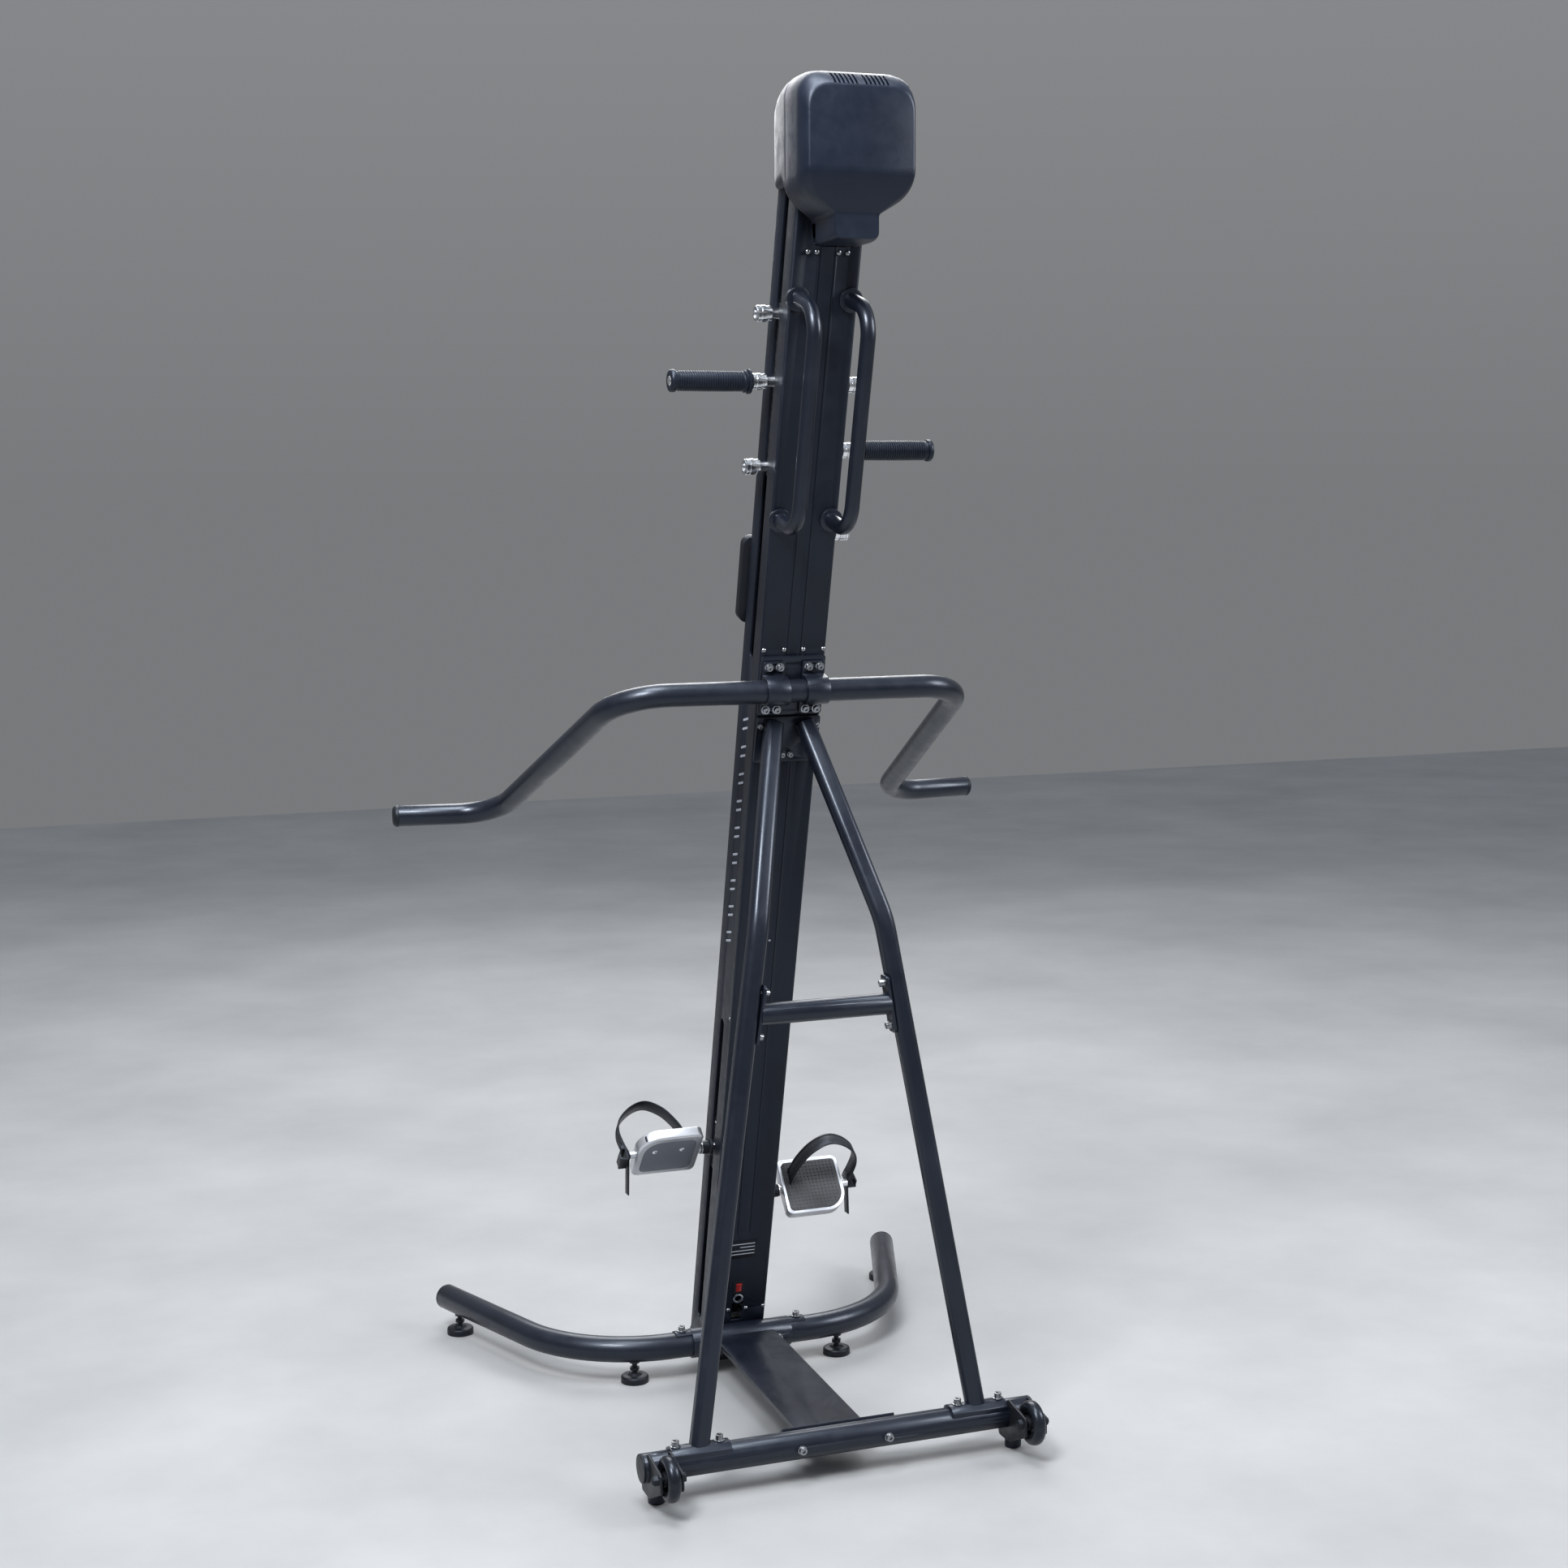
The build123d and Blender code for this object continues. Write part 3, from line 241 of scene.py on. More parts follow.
def soften(obj, width):
    """Weld the split edges, round the sharp ones a little and shade smooth."""
    weld = obj.modifiers.new("weld", "WELD")
    weld.merge_threshold = WELD
    if width:
        bevel = obj.modifiers.new("bevel", "BEVEL")
        bevel.width = width
        bevel.segments = 2
        bevel.limit_method = "ANGLE"
        bevel.angle_limit = math.radians(38.0)
        bevel.harden_normals = True
        bevel.use_clamp_overlap = True
    for polygon in obj.data.polygons:
        polygon.use_smooth = True


def make(name, verts, faces, mat, body, smooth=30.0, hides=()):
    """New piece in world coordinates, riding on a body."""
    mesh = bpy.data.meshes.new(name)
    mesh.from_pydata([tuple(v) for v in verts], [], faces)
    bm = bmesh.new()
    bm.from_mesh(mesh)
    bmesh.ops.recalc_face_normals(bm, faces=bm.faces)
    for face in bm.faces:
        face.smooth = True
    for edge in bm.edges:
        if len(edge.link_faces) == 2 and edge.calc_face_angle(0) > math.radians(smooth):
            edge.smooth = False
    bm.to_mesh(mesh)
    bm.free()
    obj = bpy.data.objects.new(name, mesh)
    bpy.context.scene.collection.objects.link(obj)
    dress(obj, mat)
    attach(obj, body)
    if hides:
        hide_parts(*hides)
    return obj


def lathe(profile, matrix, steps=64):
    """Revolve (x, radius) points about X; a profile that starts off the axis is joined into a loop."""
    verts, faces = [], []
    ring = len(profile)
    for k in range(steps):
        a = 2 * math.pi * k / steps
        for x, r in profile:
            verts.append(matrix @ Vector((x, r * math.cos(a), r * math.sin(a))))
    on_axis = profile[0][1] <= 1e-6
    spans = ring - 1 if on_axis else ring
    for k in range(steps):
        n = (k + 1) % steps
        for i in range(spans):
            j = (i + 1) % ring
            faces.append((k * ring + i, k * ring + j, n * ring + j, n * ring + i))
    return verts, faces


def box_mesh(x0, x1, y0, y1, z0, z1, matrix):
    """Plain block."""
    verts = [matrix @ Vector((x, y, z)) for x in (x0, x1) for y in (y0, y1) for z in (z0, z1)]
    faces = [(0, 1, 3, 2), (4, 6, 7, 5), (0, 4, 5, 1), (2, 3, 7, 6), (0, 2, 6, 4), (1, 5, 7, 3)]
    return verts, faces


def merge(parts):
    """Join several (verts, faces) lists into one."""
    verts, faces = [], []
    for v, f in parts:
        base = len(verts)
        verts += v
        faces += [tuple(i + base for i in face) for face in f]
    return verts, faces


def band(points, normals, across, width, thick):
    """Flat band along points: cross-section width x thick, rounded by one chamfer."""
    c = min(thick * 0.35, width * 0.2)
    h, t = width / 2, thick / 2
    section = [(-h, -t + c), (-h + c, -t), (h - c, -t), (h, -t + c)]
    section += [(-a, -b) for a, b in section]
    verts, faces = [], []
    for p, n in zip(points, normals):
        for a, b in section:
            verts.append(p + across * a + n * b)
    k = len(section)
    for i in range(len(points) - 1):
        for j in range(k):
            m = (j + 1) % k
            faces.append((i * k + j, i * k + m, (i + 1) * k + m, (i + 1) * k + j))
    faces.append(tuple(range(k)))
    faces.append(tuple(reversed(range((len(points) - 1) * k, len(points) * k))))
    return verts, faces


def smooth_path(points, per=10):
    """Catmull-Rom curve through points, as a dense list."""
    pts = [Vector(p) for p in points]
    pts = [pts[0] * 2 - pts[1]] + pts + [pts[-1] * 2 - pts[-2]]
    out = []
    for a, b, c, d in zip(pts, pts[1:], pts[2:], pts[3:]):
        for k in range(per):
            t = k / per
            out.append(0.5 * ((2 * b) + (c - a) * t + (2 * a - 5 * b + 4 * c - d) * t * t
                              + (3 * b - a - 3 * c + d) * t ** 3))
    out.append(pts[-2])
    return out


def round_corner(before, corner, after, radius, steps=8):
    """Points of a rounded corner between two straight runs."""
    a, p, b = Vector(before), Vector(corner), Vector(after)
    reach = min(radius, 0.45 * (a - p).length, 0.45 * (b - p).length)
    first, last = p + (a - p).normalized() * reach, p + (b - p).normalized() * reach
    shares = [k / steps for k in range(steps + 1)]
    return [first * (1 - t) ** 2 + p * 2 * t * (1 - t) + last * t * t for t in shares]


# ---------------------------------------------------------------- CAD nodes that show as they are
BEVELS = {
    "mast_column": 0.0012, "head_front_cover": 0.002, "head_rear_cover": 0.002, "console_housing": 0.001,
    "spine_plate": 0.001, "base_sleeve": 0.0007, "handlebar_clamps": 0.001, "handlebar_plate": 0.0008,
    "frame_top_plate": 0.0008, "cross_brace": 0.0008, "wheel_brackets": 0.0008, "end_caps": 0.0008,
    "hand_carriage_left": 0.0005, "hand_carriage_right": 0.0005, "foot_carriage_left": 0.0006,
    "foot_carriage_right": 0.0006, "pedal_left": 0.001, "pedal_right": 0.001, "rear_feet": 0.001,
}
for name, obj in NODES.items():
    dress(obj, SLOT_MATERIAL[NODE_SLOT[name]])
    soften(obj, BEVELS.get(name, 0.0004))
dress(NODES["mast_column"], MAST_PAINT)
dress(NODES["fasteners"], BOLT)
dress(NODES["wheel_brackets"], BLACK)


# ---------------------------------------------------------------- grips, sleeves
RIB_PITCH = 0.0042
RIBS = (0.1135, 0.2300)     # the ribs' span along the grip
RIB_FOOT, RIB_TOP = 0.0153, 0.0163


def ribbed_grip(name, side):
    """Rubber grip: two rims, a barrel with fine ribs, a domed end with a bright edge."""
    outline = [
        (0.1000, 0.0082), (0.1000, 0.0185), (0.1008, 0.0203), (0.1045, 0.0205), (0.1053, 0.0195),
        (0.1062, 0.0165), (0.1078, 0.0165), (0.1084, 0.0182), (0.1110, 0.0184), (0.1118, 0.0163),
    ]
    start, end = RIBS
    for k in range(int((end - start) / RIB_PITCH)):
        a = start + k * RIB_PITCH
        swell = 0.0004 * math.sin(math.pi * (a - start) / (end - start))
        foot, top = RIB_FOOT + swell, RIB_TOP + swell
        outline += [(a, foot), (a + 0.0007, top), (a + 0.0030, top), (a + 0.0037, foot)]
    outline += [
        (0.2312, 0.0160), (0.2318, 0.0182), (0.2345, 0.0187), (0.2382, 0.0184), (0.2402, 0.0168),
        (0.2410, 0.0140), (0.2405, 0.0100), (0.2395, 0.0060), (0.2330, 0.0082),
    ]
    place = MAST @ Matrix.Translation((0, MAST_MID, HAND_LEVEL[side]))
    hand, cad_grip = "hand_" + name, "hand_grip_" + name
    verts, faces = lathe([(side * a, r) for a, r in outline], place, 72)
    make("grip_sleeve_" + name, verts, faces, RUBBER, hand, 40.0, [cad_grip])
    disc = [(0.2330, 0.0), (0.2330, 0.0081), (0.2400, 0.0081), (0.2412, 0.0072), (0.2414, 0.0)]
    verts, faces = lathe([(side * a, r) for a, r in disc], place, 40)
    make("grip_end_" + name, verts, faces, CHROME, hand, 35.0)
    core = [(0.0630, 0.0), (0.0630, 0.0078), (0.1200, 0.0078), (0.1200, 0.0)]
    verts, faces = lathe([(side * a, r) for a, r in core], place, 40)
    make("grip_core_" + name, verts, faces, ZINC, hand, 35.0)


TEETH = 36


def knurled_sleeve(name, side, label, step):
    """Chrome release collar: broad outer shoulder, knurled waist, chamfered ends."""
    along = HAND_LEVEL[side] + step
    outline = [
        (0.0731, 0.01015), (0.0731, 0.0124), (0.0738, 0.0133), (0.0785, 0.0133), (0.0790, 0.0126),
        (0.0818, 0.0126), (0.0824, 0.0134), (0.0905, 0.0134), (0.0912, 0.0129), (0.0930, 0.0129),
        (0.0936, 0.0135), (0.0968, 0.0135), (0.0974, 0.0128), (0.0974, 0.01015),
    ]
    place = MAST @ Matrix.Translation((0, MAST_MID, along))
    verts, faces = lathe([(side * a, r) for a, r in outline], place, 64)
    teeth = []
    for k in range(TEETH):
        turn = place @ Matrix.Rotation(2 * math.pi * k / TEETH, 4, "X")
        teeth.append(box_mesh(side * 0.0832, side * 0.0898, -0.0005, 0.0005, 0.0130, 0.0139, turn))
    node = f"release_sleeve_{name}_{label}"
    body = f"sleeve_{name}_{label}"
    verts, faces = merge([(verts, faces), *teeth])
    make(node + "_knurled", verts, faces, CHROME, body, 35.0, [node])


for name, side in SIDES.items():
    ribbed_grip(name, side)
    for label, step in zip(("upper", "middle", "lower"), SOCKET_STEPS):
        knurled_sleeve(name, side, label, step)


# ---------------------------------------------------------------- pedals
def strap_loop(place, side, outer):
    """Middle line of the strap over the foot, with the outward normal at each point."""
    inner = STRAP_ROOT
    line = [
        (inner, 0.006), (inner + 0.0040, 0.030), (inner + 0.0140, 0.060), (inner + 0.034, 0.092),
        (inner + 0.063, 0.1105), (outer - 0.030, 0.1030), (outer - 0.002, 0.078),
        (outer + 0.0080, 0.050), (outer + 0.0060, 0.022), (outer + 0.0012, 0.0), (outer, -0.012),
    ]
    points = [place @ p for p in smooth_path([(side * x, 0, z) for x, z in line], 12)]
    across = (place.to_3x3() @ Vector((0, 1, 0))).normalized()
    normals = []
    for i in range(len(points)):
        t = points[min(i + 1, len(points) - 1)] - points[max(i - 1, 0)]
        normals.append(t.cross(across).normalized() * side)
    return points, normals, across


def strap_tail(place, side, outer):
    """The strap's spare end, hanging straight down, with its notches."""
    across, out = Vector((0, 1, 0)), Vector((side, 0, 0))
    hang = Matrix.Translation(place @ Vector((side * outer, 0, 0)))
    line = [hang @ Vector((side * 0.0002 * k, 0.0, 0.008 - 0.0070 * k)) for k in range(13)]
    parts = [band(line, [out] * len(line), across, 0.021, STRAP_T)]
    for k in range(3, 12):
        spot = line[k] + out * 0.0013
        parts.append(band([spot, spot + Vector((0, 0, -0.0025))], [out] * 2, across, 0.013, 0.0010))
    return parts


def strap_band(name, side):
    """Moulded instep strap: a band with two raised edges, teeth towards the buckle, a hanging end."""
    place = strap_frame(side)
    outer = PEDAL_X1 + 0.014
    lift = 0.0014
    points, normals, across = strap_loop(place, side, outer)
    parts = [band(points, normals, across, STRAP_W, STRAP_T)]
    for offset in (-STRAP_W * 0.38, STRAP_W * 0.38):
        edge = [p + across * offset + n * lift for p, n in zip(points, normals)]
        parts.append(band(edge[2:-2], normals[2:-2], across, 0.0028, 0.0012))
    for i in range(len(points) * 5 // 9, len(points) - 10, 3):
        tooth = [points[k] + normals[k] * lift for k in (i, i + 1)]
        parts.append(band(tooth, normals[i:i + 2], across, 0.0150, 0.0012))
    verts, faces = merge(parts + strap_tail(place, side, outer))
    pedal, cad_strap = "pedal_" + name, "pedal_strap_" + name
    make("instep_strap_" + name, verts, faces, STRAP, pedal, 50.0, [cad_strap])


def tread_pad(name, side):
    """Rows of low pyramids on the pad that leave a plain margin."""
    place = hub_frame(side)
    parts = []
    r = 0.0026
    pitch_x, pitch_y = 0.0075, 0.0071
    last_x, half_y, corner = PEDAL_X1 - 0.0105, 0.0475, 0.030
    for i in range(15):
        for j in range(14):
            x = PEDAL_X0 + 0.0125 + i * pitch_x
            y = -0.0460 + j * pitch_y
            if x > last_x or abs(y) > half_y:
                continue
            dx, dy = x - (PEDAL_X1 - PEDAL_CORNER), y - (PEDAL_HALF - PEDAL_CORNER)
            if dx > 0 and dy > 0 and math.hypot(dx, dy) > corner:
                continue
            verts = []
            for share, z in ((1.0, PAD_TOP - 0.0003), (0.45, PAD_TOP + 0.0011)):
                for a, b in ((-r, 0), (0, -r), (r, 0), (0, r)):
                    verts.append(place @ Vector((side * (x + a * share), y + b * share, z)))
            parts.append((verts, BOX_FACES))
    verts, faces = merge(parts)
    make("pad_tread_" + name, verts, faces, PAD, "pedal_" + name, 25.0)


def pedal_screws(name, side):
    """Two bright screws in the pedal's underside."""
    place = hub_frame(side)
    outline = [(-0.0002, 0.0), (-0.0002, 0.0052), (0.0010, 0.0050), (0.0022, 0.0034), (0.0025, 0.0)]
    parts = []
    for x in (0.128, 0.182):
        spot = place @ Matrix.Translation((side * x, 0.018, -0.0110)) @ Matrix.Rotation(QUARTER, 4, "Y")
        parts.append(lathe(outline, spot, 24))
    verts, faces = merge(parts)
    make("pedal_screws_" + name, verts, faces, CHROME, "pedal_" + name, 35.0)


def pedal_plan(inset):
    """Outline of the pedal drawn in by an inset, one large corner at the outer toe."""
    x0, x1, y = PEDAL_X0 + inset, PEDAL_X1 - inset, PEDAL_HALF - inset
    small, large = 0.012, PEDAL_CORNER - inset * 0.5
    corners = [((x0, -y), small), ((x1, -y), small), ((x1, y), large), ((x0, y), small)]
    points = []
    for k, (corner, radius) in enumerate(corners):
        points += round_corner(corners[k - 1][0], corner, corners[(k + 1) % 4][0], radius * 1.2)
    return points


def pedal_underside_shade(name, side):
    """Darker grey sheet over the pedal's underside, with a lip: painted shade and reflection, where the
    underside faces down away from the lights.
    """
    place = hub_frame(side)
    rings = [(0.0120, -0.0100), (0.0120, -0.0114), (0.0135, -0.0120)]
    verts, faces = [], []
    for inset, z in rings:
        verts += [place @ Vector((side * x, y, z)) for x, y in pedal_plan(inset)]
    n = len(verts) // len(rings)
    for k in range(len(rings) - 1):
        low, high = k * n, (k + 1) * n
        for i in range(n):
            j = (i + 1) % n
            faces.append((low + i, low + j, high + j, high + i))
    faces += [tuple(range(n)), tuple(range(2 * n, 3 * n))]
    make("pedal_underside_shade_" + name, verts, faces, UNDERSIDE_SHADE, "pedal_" + name, 25.0)


def axle_hub(name, side):
    """Black moulded hub over the carriage's shoulder, with a bright axle nut."""
    place = MAST @ Matrix.Translation((0, MAST_MID, FOOT_LEVEL[side]))
    shell = [
        (0.0622, 0.0085), (0.0622, 0.0150), (0.0635, 0.0165), (0.0680, 0.0165), (0.0695, 0.0150),
        (0.0702, 0.0130), (0.0800, 0.0126), (0.0838, 0.0118), (0.0845, 0.0085),
    ]
    verts, faces = lathe([(side * a, b) for a, b in shell], place, 48)
    make("axle_hub_" + name, verts, faces, BLACK, "foot_" + name, 35.0)
    nut = [
        (0.0846, 0.0085), (0.0846, 0.0112), (0.0858, 0.0118),
        (0.0880, 0.0118), (0.0888, 0.0108), (0.0888, 0.0085),
    ]
    verts, faces = lathe([(side * a, b) for a, b in nut], place, 6)
    make("axle_nut_" + name, verts, faces, CHROME, "foot_" + name, 35.0)


for name, side in SIDES.items():
    strap_band(name, side)
    tread_pad(name, side)
    pedal_screws(name, side)
    pedal_underside_shade(name, side)
    axle_hub(name, side)


# ---------------------------------------------------------------- wheels
def spoked_wheel(name, side):
    """Urethane wheel: rounded tread on a five-spoke hub."""
    x, y, z = WHEEL_CENTRE
    centre = Matrix.Translation((side * x, y - ORIGIN_Y, z))
    half, shoulder, crown = 0.0112, 0.0300, 0.0100
    tyre = [(-0.0102, 0.0245), (-half, shoulder)]
    for k in range(13):
        a = math.pi * k / 12
        tyre.append((-half * math.cos(a), shoulder + crown * math.sin(a) ** 0.75))
    tyre += [(half, shoulder), (0.0102, 0.0245), (0.0070, 0.0238), (-0.0070, 0.0238)]
    verts, faces = lathe(tyre, centre, 72)
    body, cad_wheel = "wheel_" + name, "transport_wheel_" + name
    make("wheel_tyre_" + name, verts, faces, WHEEL, body, 45.0, [cad_wheel])
    rim = [
        (-0.0085, 0.0210), (-0.0085, 0.0243), (0.0085, 0.0243),
        (0.0085, 0.0210), (0.0040, 0.0205), (-0.0040, 0.0205),
    ]
    hub = [
        (-0.0110, 0.0051), (-0.0110, 0.0105), (-0.0095, 0.0118),
        (0.0095, 0.0118), (0.0110, 0.0105), (0.0110, 0.0051),
    ]
    parts = [lathe(rim, centre, 72), lathe(hub, centre, 48)]
    for k in range(SPOKES):
        turn = centre @ Matrix.Rotation(2 * math.pi * k / SPOKES, 4, "X")
        parts.append(box_mesh(-0.0060, 0.0060, -0.0030, 0.0030, 0.0110, 0.0212, turn))
    verts, faces = merge(parts)
    make("wheel_hub_" + name, verts, faces, BLACK, "wheel_" + name, 35.0)


for name, side in SIDES.items():
    spoked_wheel(name, side)


# ---------------------------------------------------------------- head covers
HEAD_LOW, HEAD_WAIST, HEAD_BOTTOM = 2.168, 2.134, 2.094
HEAD_GAP = 0.0006           # clearance between the front cover and the column
FOLD_TOP, FOLD_DEPTH = 2.196, 0.062         # where the rear face starts to lean in, and over what drop
VENTS, VENT_PITCH = 6, 0.0072               # slits in each of the two groups


def head_ring(y, inset, half, top, low, waist, bottom, forward=0.0):
    """One ring of the head: box with large upper corners over a narrow neck."""
    neck, wide = 0.040 - inset * 0.35, half - inset
    corners = [
        ((neck, bottom + inset * 0.4), 0.012), ((neck, waist + inset * 0.2), 0.006),
        ((wide, low + inset * 0.7), 0.030), ((wide, top - inset), 0.050 - inset * 0.9),
    ]
    line = [(0, bottom + inset * 0.4)] + [c for c, _ in corners] + [(0, top - inset)]
    right_side = []
    for k, (corner, radius) in enumerate(corners):
        right_side += round_corner(line[k], corner, line[k + 2], radius)
    ring = []
    for x, z in right_side + [(-x, z) for x, z in reversed(right_side)]:
        lean_in = forward * min(max((FOLD_TOP - z) / FOLD_DEPTH, 0.0), 1.0)
        ring.append(Vector((x, y - lean_in - ORIGIN_Y, z)))
    return ring


def shell_from_rings(rings):
    """Skin over rings, closed at both ends by strips from side to side."""
    n = len(rings[0])
    verts = [v for ring in rings for v in ring]
    faces = []
    for k in range(len(rings) - 1):
        for i in range(n):
            j = (i + 1) % n
            faces.append((k * n + i, k * n + j, (k + 1) * n + j, (k + 1) * n + i))
    for k in (0, len(rings) - 1):
        for i in range(n // 2 - 1):
            faces.append((k * n + i, k * n + i + 1, k * n + n - 2 - i, k * n + n - 1 - i))
    return verts, faces


def cut(obj, verts, faces):
    """Subtract a closed mesh from a new piece and keep the result."""
    mesh = bpy.data.meshes.new("cutter")
    mesh.from_pydata([tuple(v) for v in verts], [], faces)
    tool = bpy.data.objects.new("cutter", mesh)
    bpy.context.scene.collection.objects.link(tool)
    step = obj.modifiers.new("cut", "BOOLEAN")
    step.object = tool
    step.solver = "EXACT"
    bpy.context.view_layer.update()
    result = bpy.data.meshes.new_from_object(obj.evaluated_get(bpy.context.evaluated_depsgraph_get()))
    obj.modifiers.clear()
    obj.data = result
    bpy.data.objects.remove(tool)


def head_covers():
    """Rear cover with its narrow bevel and vents, front cover that wraps the column."""
    rear = []
    for y, inset, top in (
        (0.7120, 0.0118, 2.3330), (0.7113, 0.0098, 2.3338), (0.7095, 0.0080, 2.3350),
        (0.7050, 0.0056, 2.3368), (0.6990, 0.0032, 2.3390), (0.6920, 0.0014, 2.3420),
        (0.6840, 0.0003, 2.3455), (0.6700, 0.0, 2.3490), (0.6500, 0.0, 2.3515),
        (0.6150, 0.0, 2.3520), (0.6130, 0.0003, 2.3520), (0.6122, 0.0012, 2.3520),
    ):
        half = 0.0975 - max(0.0, 0.690 - y) * 0.075
        rear.append(head_ring(y, inset, half, top, HEAD_LOW, HEAD_WAIST, HEAD_BOTTOM, 0.022))
    verts, faces = shell_from_rings(rear)
    cover = make("head_rear_shell", verts, faces, COVER, "frame", 32.0, ["head_rear_cover"])
    vents = []
    tip = Matrix.Rotation(math.radians(-42), 4, "X")
    for group in (-1, 1):
        for k in range(VENTS):
            x = group * 0.0260 + (k - (VENTS - 1) / 2) * VENT_PITCH
            place = Matrix.Translation((x, 0.6965 - ORIGIN_Y, 2.3320)) @ tip
            vents.append(box_mesh(-0.0017, 0.0017, -0.0145, 0.0145, -0.007, 0.014, place))
    cut(cover, *merge(vents))
    front = []
    for y, inset, half, top in (
        (0.6118, 0.0012, 0.0915, 2.3520), (0.6110, 0.0003, 0.0915, 2.3520),
        (0.6090, 0.0, 0.0912, 2.3520), (0.5980, 0.0, 0.0895, 2.3518),
    ):
        front.append(head_ring(y, inset, half, top, HEAD_LOW, HEAD_WAIST, HEAD_BOTTOM))
    base = HEAD_LOW + 0.022
    for y, inset, half, top in (
        (0.5800, 0.0, 0.0868, 2.3510), (0.5600, 0.0, 0.0830, 2.3490), (0.5350, 0.0, 0.0780, 2.3440),
        (0.5100, 0.0005, 0.0725, 2.3350), (0.4940, 0.0025, 0.0690, 2.3250),
        (0.4860, 0.0055, 0.0672, 2.3180), (0.4825, 0.0095, 0.0665, 2.3150),
    ):
        front.append(head_ring(y, inset, half, top, base, base - 0.002, base - 0.004))
    verts, faces = shell_from_rings(front)
    shell = make("head_front_shell", verts, faces, COVER, "frame", 32.0, ["head_front_cover"])
    side = MAST_HALF + HEAD_GAP
    cut(shell, *box_mesh(-side, side, -MAST_DEPTH - HEAD_GAP, HEAD_GAP, 2.08, 2.318, MAST))


head_covers()


# ---------------------------------------------------------------- small trim on the column
def side_stripe():
    """Pairs of plain slanted strokes up each side of the column, between its two slots."""
    y0, y1, rise, thick = -0.061, -0.037, 0.011, 0.0045
    first, pitch = 0.905, 0.052
    parts = []
    for side in (1, -1):
        x = side * (MAST_HALF + 0.0002)
        for k in range(9):
            for step in (0.0, 0.017):
                s = first + k * pitch + step
                stroke = (y0, s), (y1, s + rise), (y1, s + rise + thick), (y0, s + thick)
                verts = [MAST @ Vector((x + side * d, y, z)) for d in (-0.0001, 0.0002) for y, z in stroke]
                parts.append((verts, BOX_FACES))
    verts, faces = merge(parts)
    make("side_bars", verts, faces, DECAL, "frame")


def plate_lines():
    """Blank ruled fields on the data plate: plain bars, no lettering."""
    edge, first, pitch, thick = 0.026, 0.275, 0.0075, 0.0018
    parts = []
    for k, end in enumerate((edge, 0.004, edge, edge)):
        s = first - k * pitch
        parts.append(box_mesh(-edge, end, 0.0007, 0.0010, s, s + thick, MAST))
    verts, faces = merge(parts)
    make("plate_rules", verts, faces, DECAL, "frame")


def inlet_ring():
    """Bright ring round the supply inlet, on the column's rear face."""
    spot = MAST @ Matrix.Translation((0, 0, INLET_LEVEL)) @ Matrix.Rotation(QUARTER, 4, "Z")
    ring = [(0.0018, 0.0063), (0.0018, 0.0104), (0.0030, 0.0100), (0.0034, 0.0088), (0.0030, 0.0066)]
    verts, faces = lathe(ring, spot, 48)
    make("inlet_ring", verts, faces, CHROME, "frame", 35.0)


side_stripe()
plate_lines()
inlet_ring()


# ---------------------------------------------------------------- floor, light, camera
FLOOR = 9
floor_mesh = bpy.data.meshes.new("floor")
corners = [(-FLOOR, -FLOOR, 0), (FLOOR, -FLOOR, 0), (FLOOR, FLOOR, 0), (-FLOOR, FLOOR, 0)]
floor_mesh.from_pydata(corners, [], [(0, 1, 2, 3)])
floor = bpy.data.objects.new("floor", floor_mesh)
bpy.context.scene.collection.objects.link(floor)
floor_mat, tree, shader = material("floor_pale", (0.30, 0.30, 0.30), 0.85)
cloud = ramp(tree, noise(tree, 1.4, 8.0, 0.6), [(0.3, 0.26), (0.7, 0.33)])
tree.links.new(cloud, shader.inputs["Base Color"])
dress(floor, floor_mat)

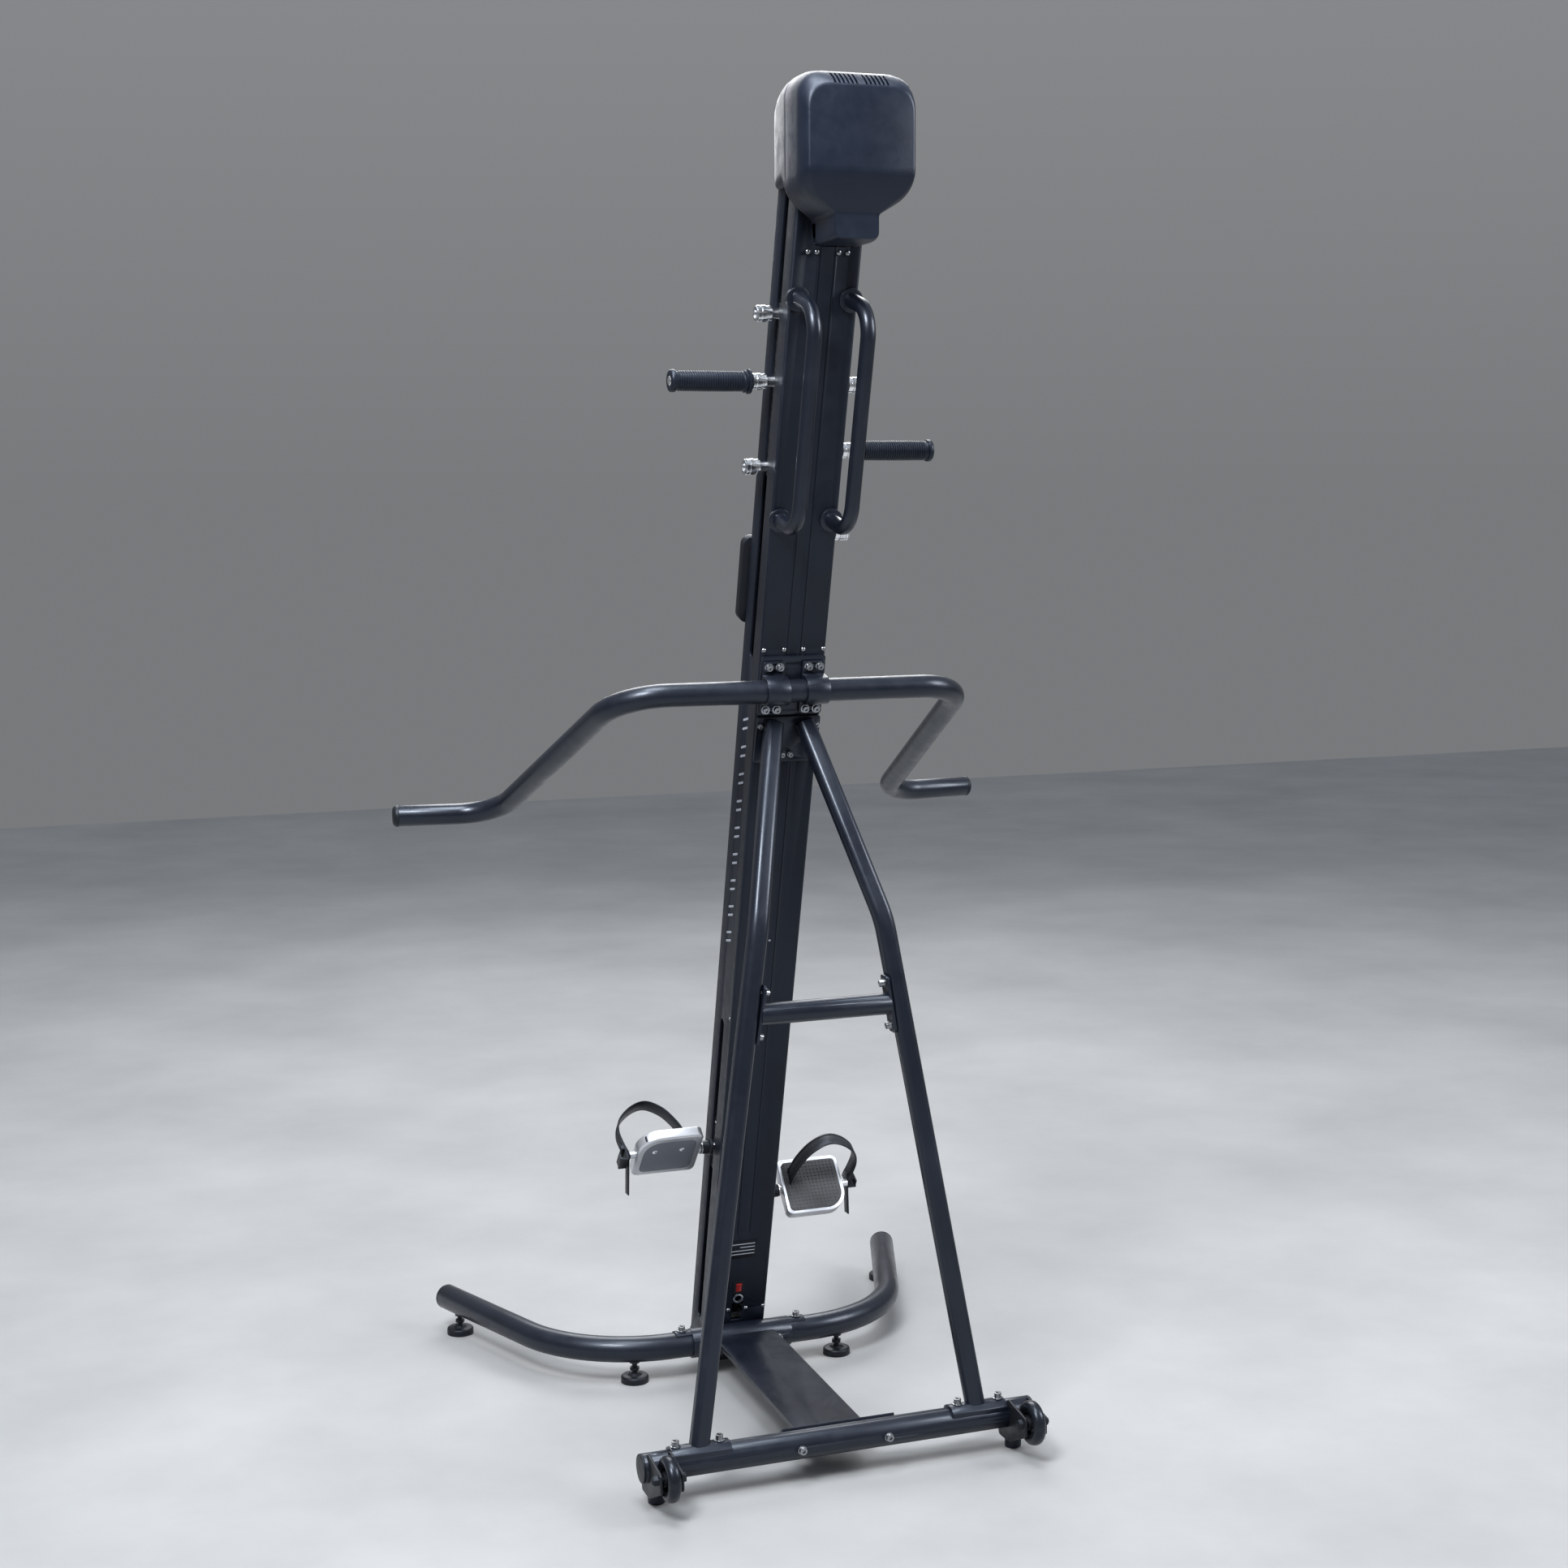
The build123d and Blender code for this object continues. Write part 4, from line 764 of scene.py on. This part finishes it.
world = bpy.data.worlds.new("studio")
bpy.context.scene.world = world
world.use_nodes = True
sky = world.node_tree
split = sky.nodes.new("ShaderNodeSeparateXYZ")
sky.links.new(sky.nodes.new("ShaderNodeTexCoord").outputs["Generated"], split.inputs[0])
haze = ramp(sky, split.outputs["Z"], [
    (0.0, (0.24, 0.245, 0.255)), (0.30, (0.34, 0.35, 0.365)), (1.0, (0.60, 0.66, 0.76)),
])
sky.links.new(haze, sky.nodes["Background"].inputs["Color"])


def area_light(name, place, target, size, power, color=(1, 1, 1)):
    """Soft square light aimed at a point."""
    data = bpy.data.lights.new(name, "AREA")
    data.shape = "SQUARE"
    data.size = size
    data.energy = power
    data.color = color
    obj = bpy.data.objects.new(name, data)
    bpy.context.scene.collection.objects.link(obj)
    obj.location = place
    obj.rotation_euler = (Vector(target) - Vector(place)).to_track_quat("-Z", "Y").to_euler()


area_light("key", (2.4, 2.6, 4.8), (0, 0, 1.1), 1.5, 420, (0.93, 0.96, 1.0))
area_light("fill", (-3.8, 2.2, 3.4), (0, 0, 1.2), 1.8, 190, (0.93, 0.96, 1.0))
area_light("back", (-1.0, -3.6, 4.0), (0, 0, 1.2), 3.0, 210)
area_light("top", (0.3, 0.9, 5.4), (0, 0.2, 0), 2.0, 260, (0.90, 0.95, 1.0))

YAW, PITCH, ROLL = math.radians(20.2495), math.radians(10.385), math.radians(-0.4365)
look = Vector((-math.sin(YAW) * math.cos(PITCH), -math.cos(YAW) * math.cos(PITCH), -math.sin(PITCH)))
right = look.cross(Vector((0, 0, 1))).normalized()
up = right.cross(look)
right, up = (
    right * math.cos(ROLL) + up * math.sin(ROLL),
    up * math.cos(ROLL) - right * math.sin(ROLL),
)
camera_data = bpy.data.cameras.new("camera")
camera_data.sensor_width = 36.0
camera_data.lens = 54.08
camera_data.shift_x = -0.0071
camera_data.shift_y = 0.0926
camera_data.clip_end = 60.0
camera = bpy.data.objects.new("camera", camera_data)
bpy.context.scene.collection.objects.link(camera)
pose = Matrix((right, up, -look)).transposed().to_4x4()
camera.matrix_world = Matrix.Translation((1.4256, 4.0981, 1.6986)) @ pose
bpy.context.scene.camera = camera
bpy.context.scene.view_settings.view_transform = "Standard"
bpy.context.scene.view_settings.exposure = -0.35
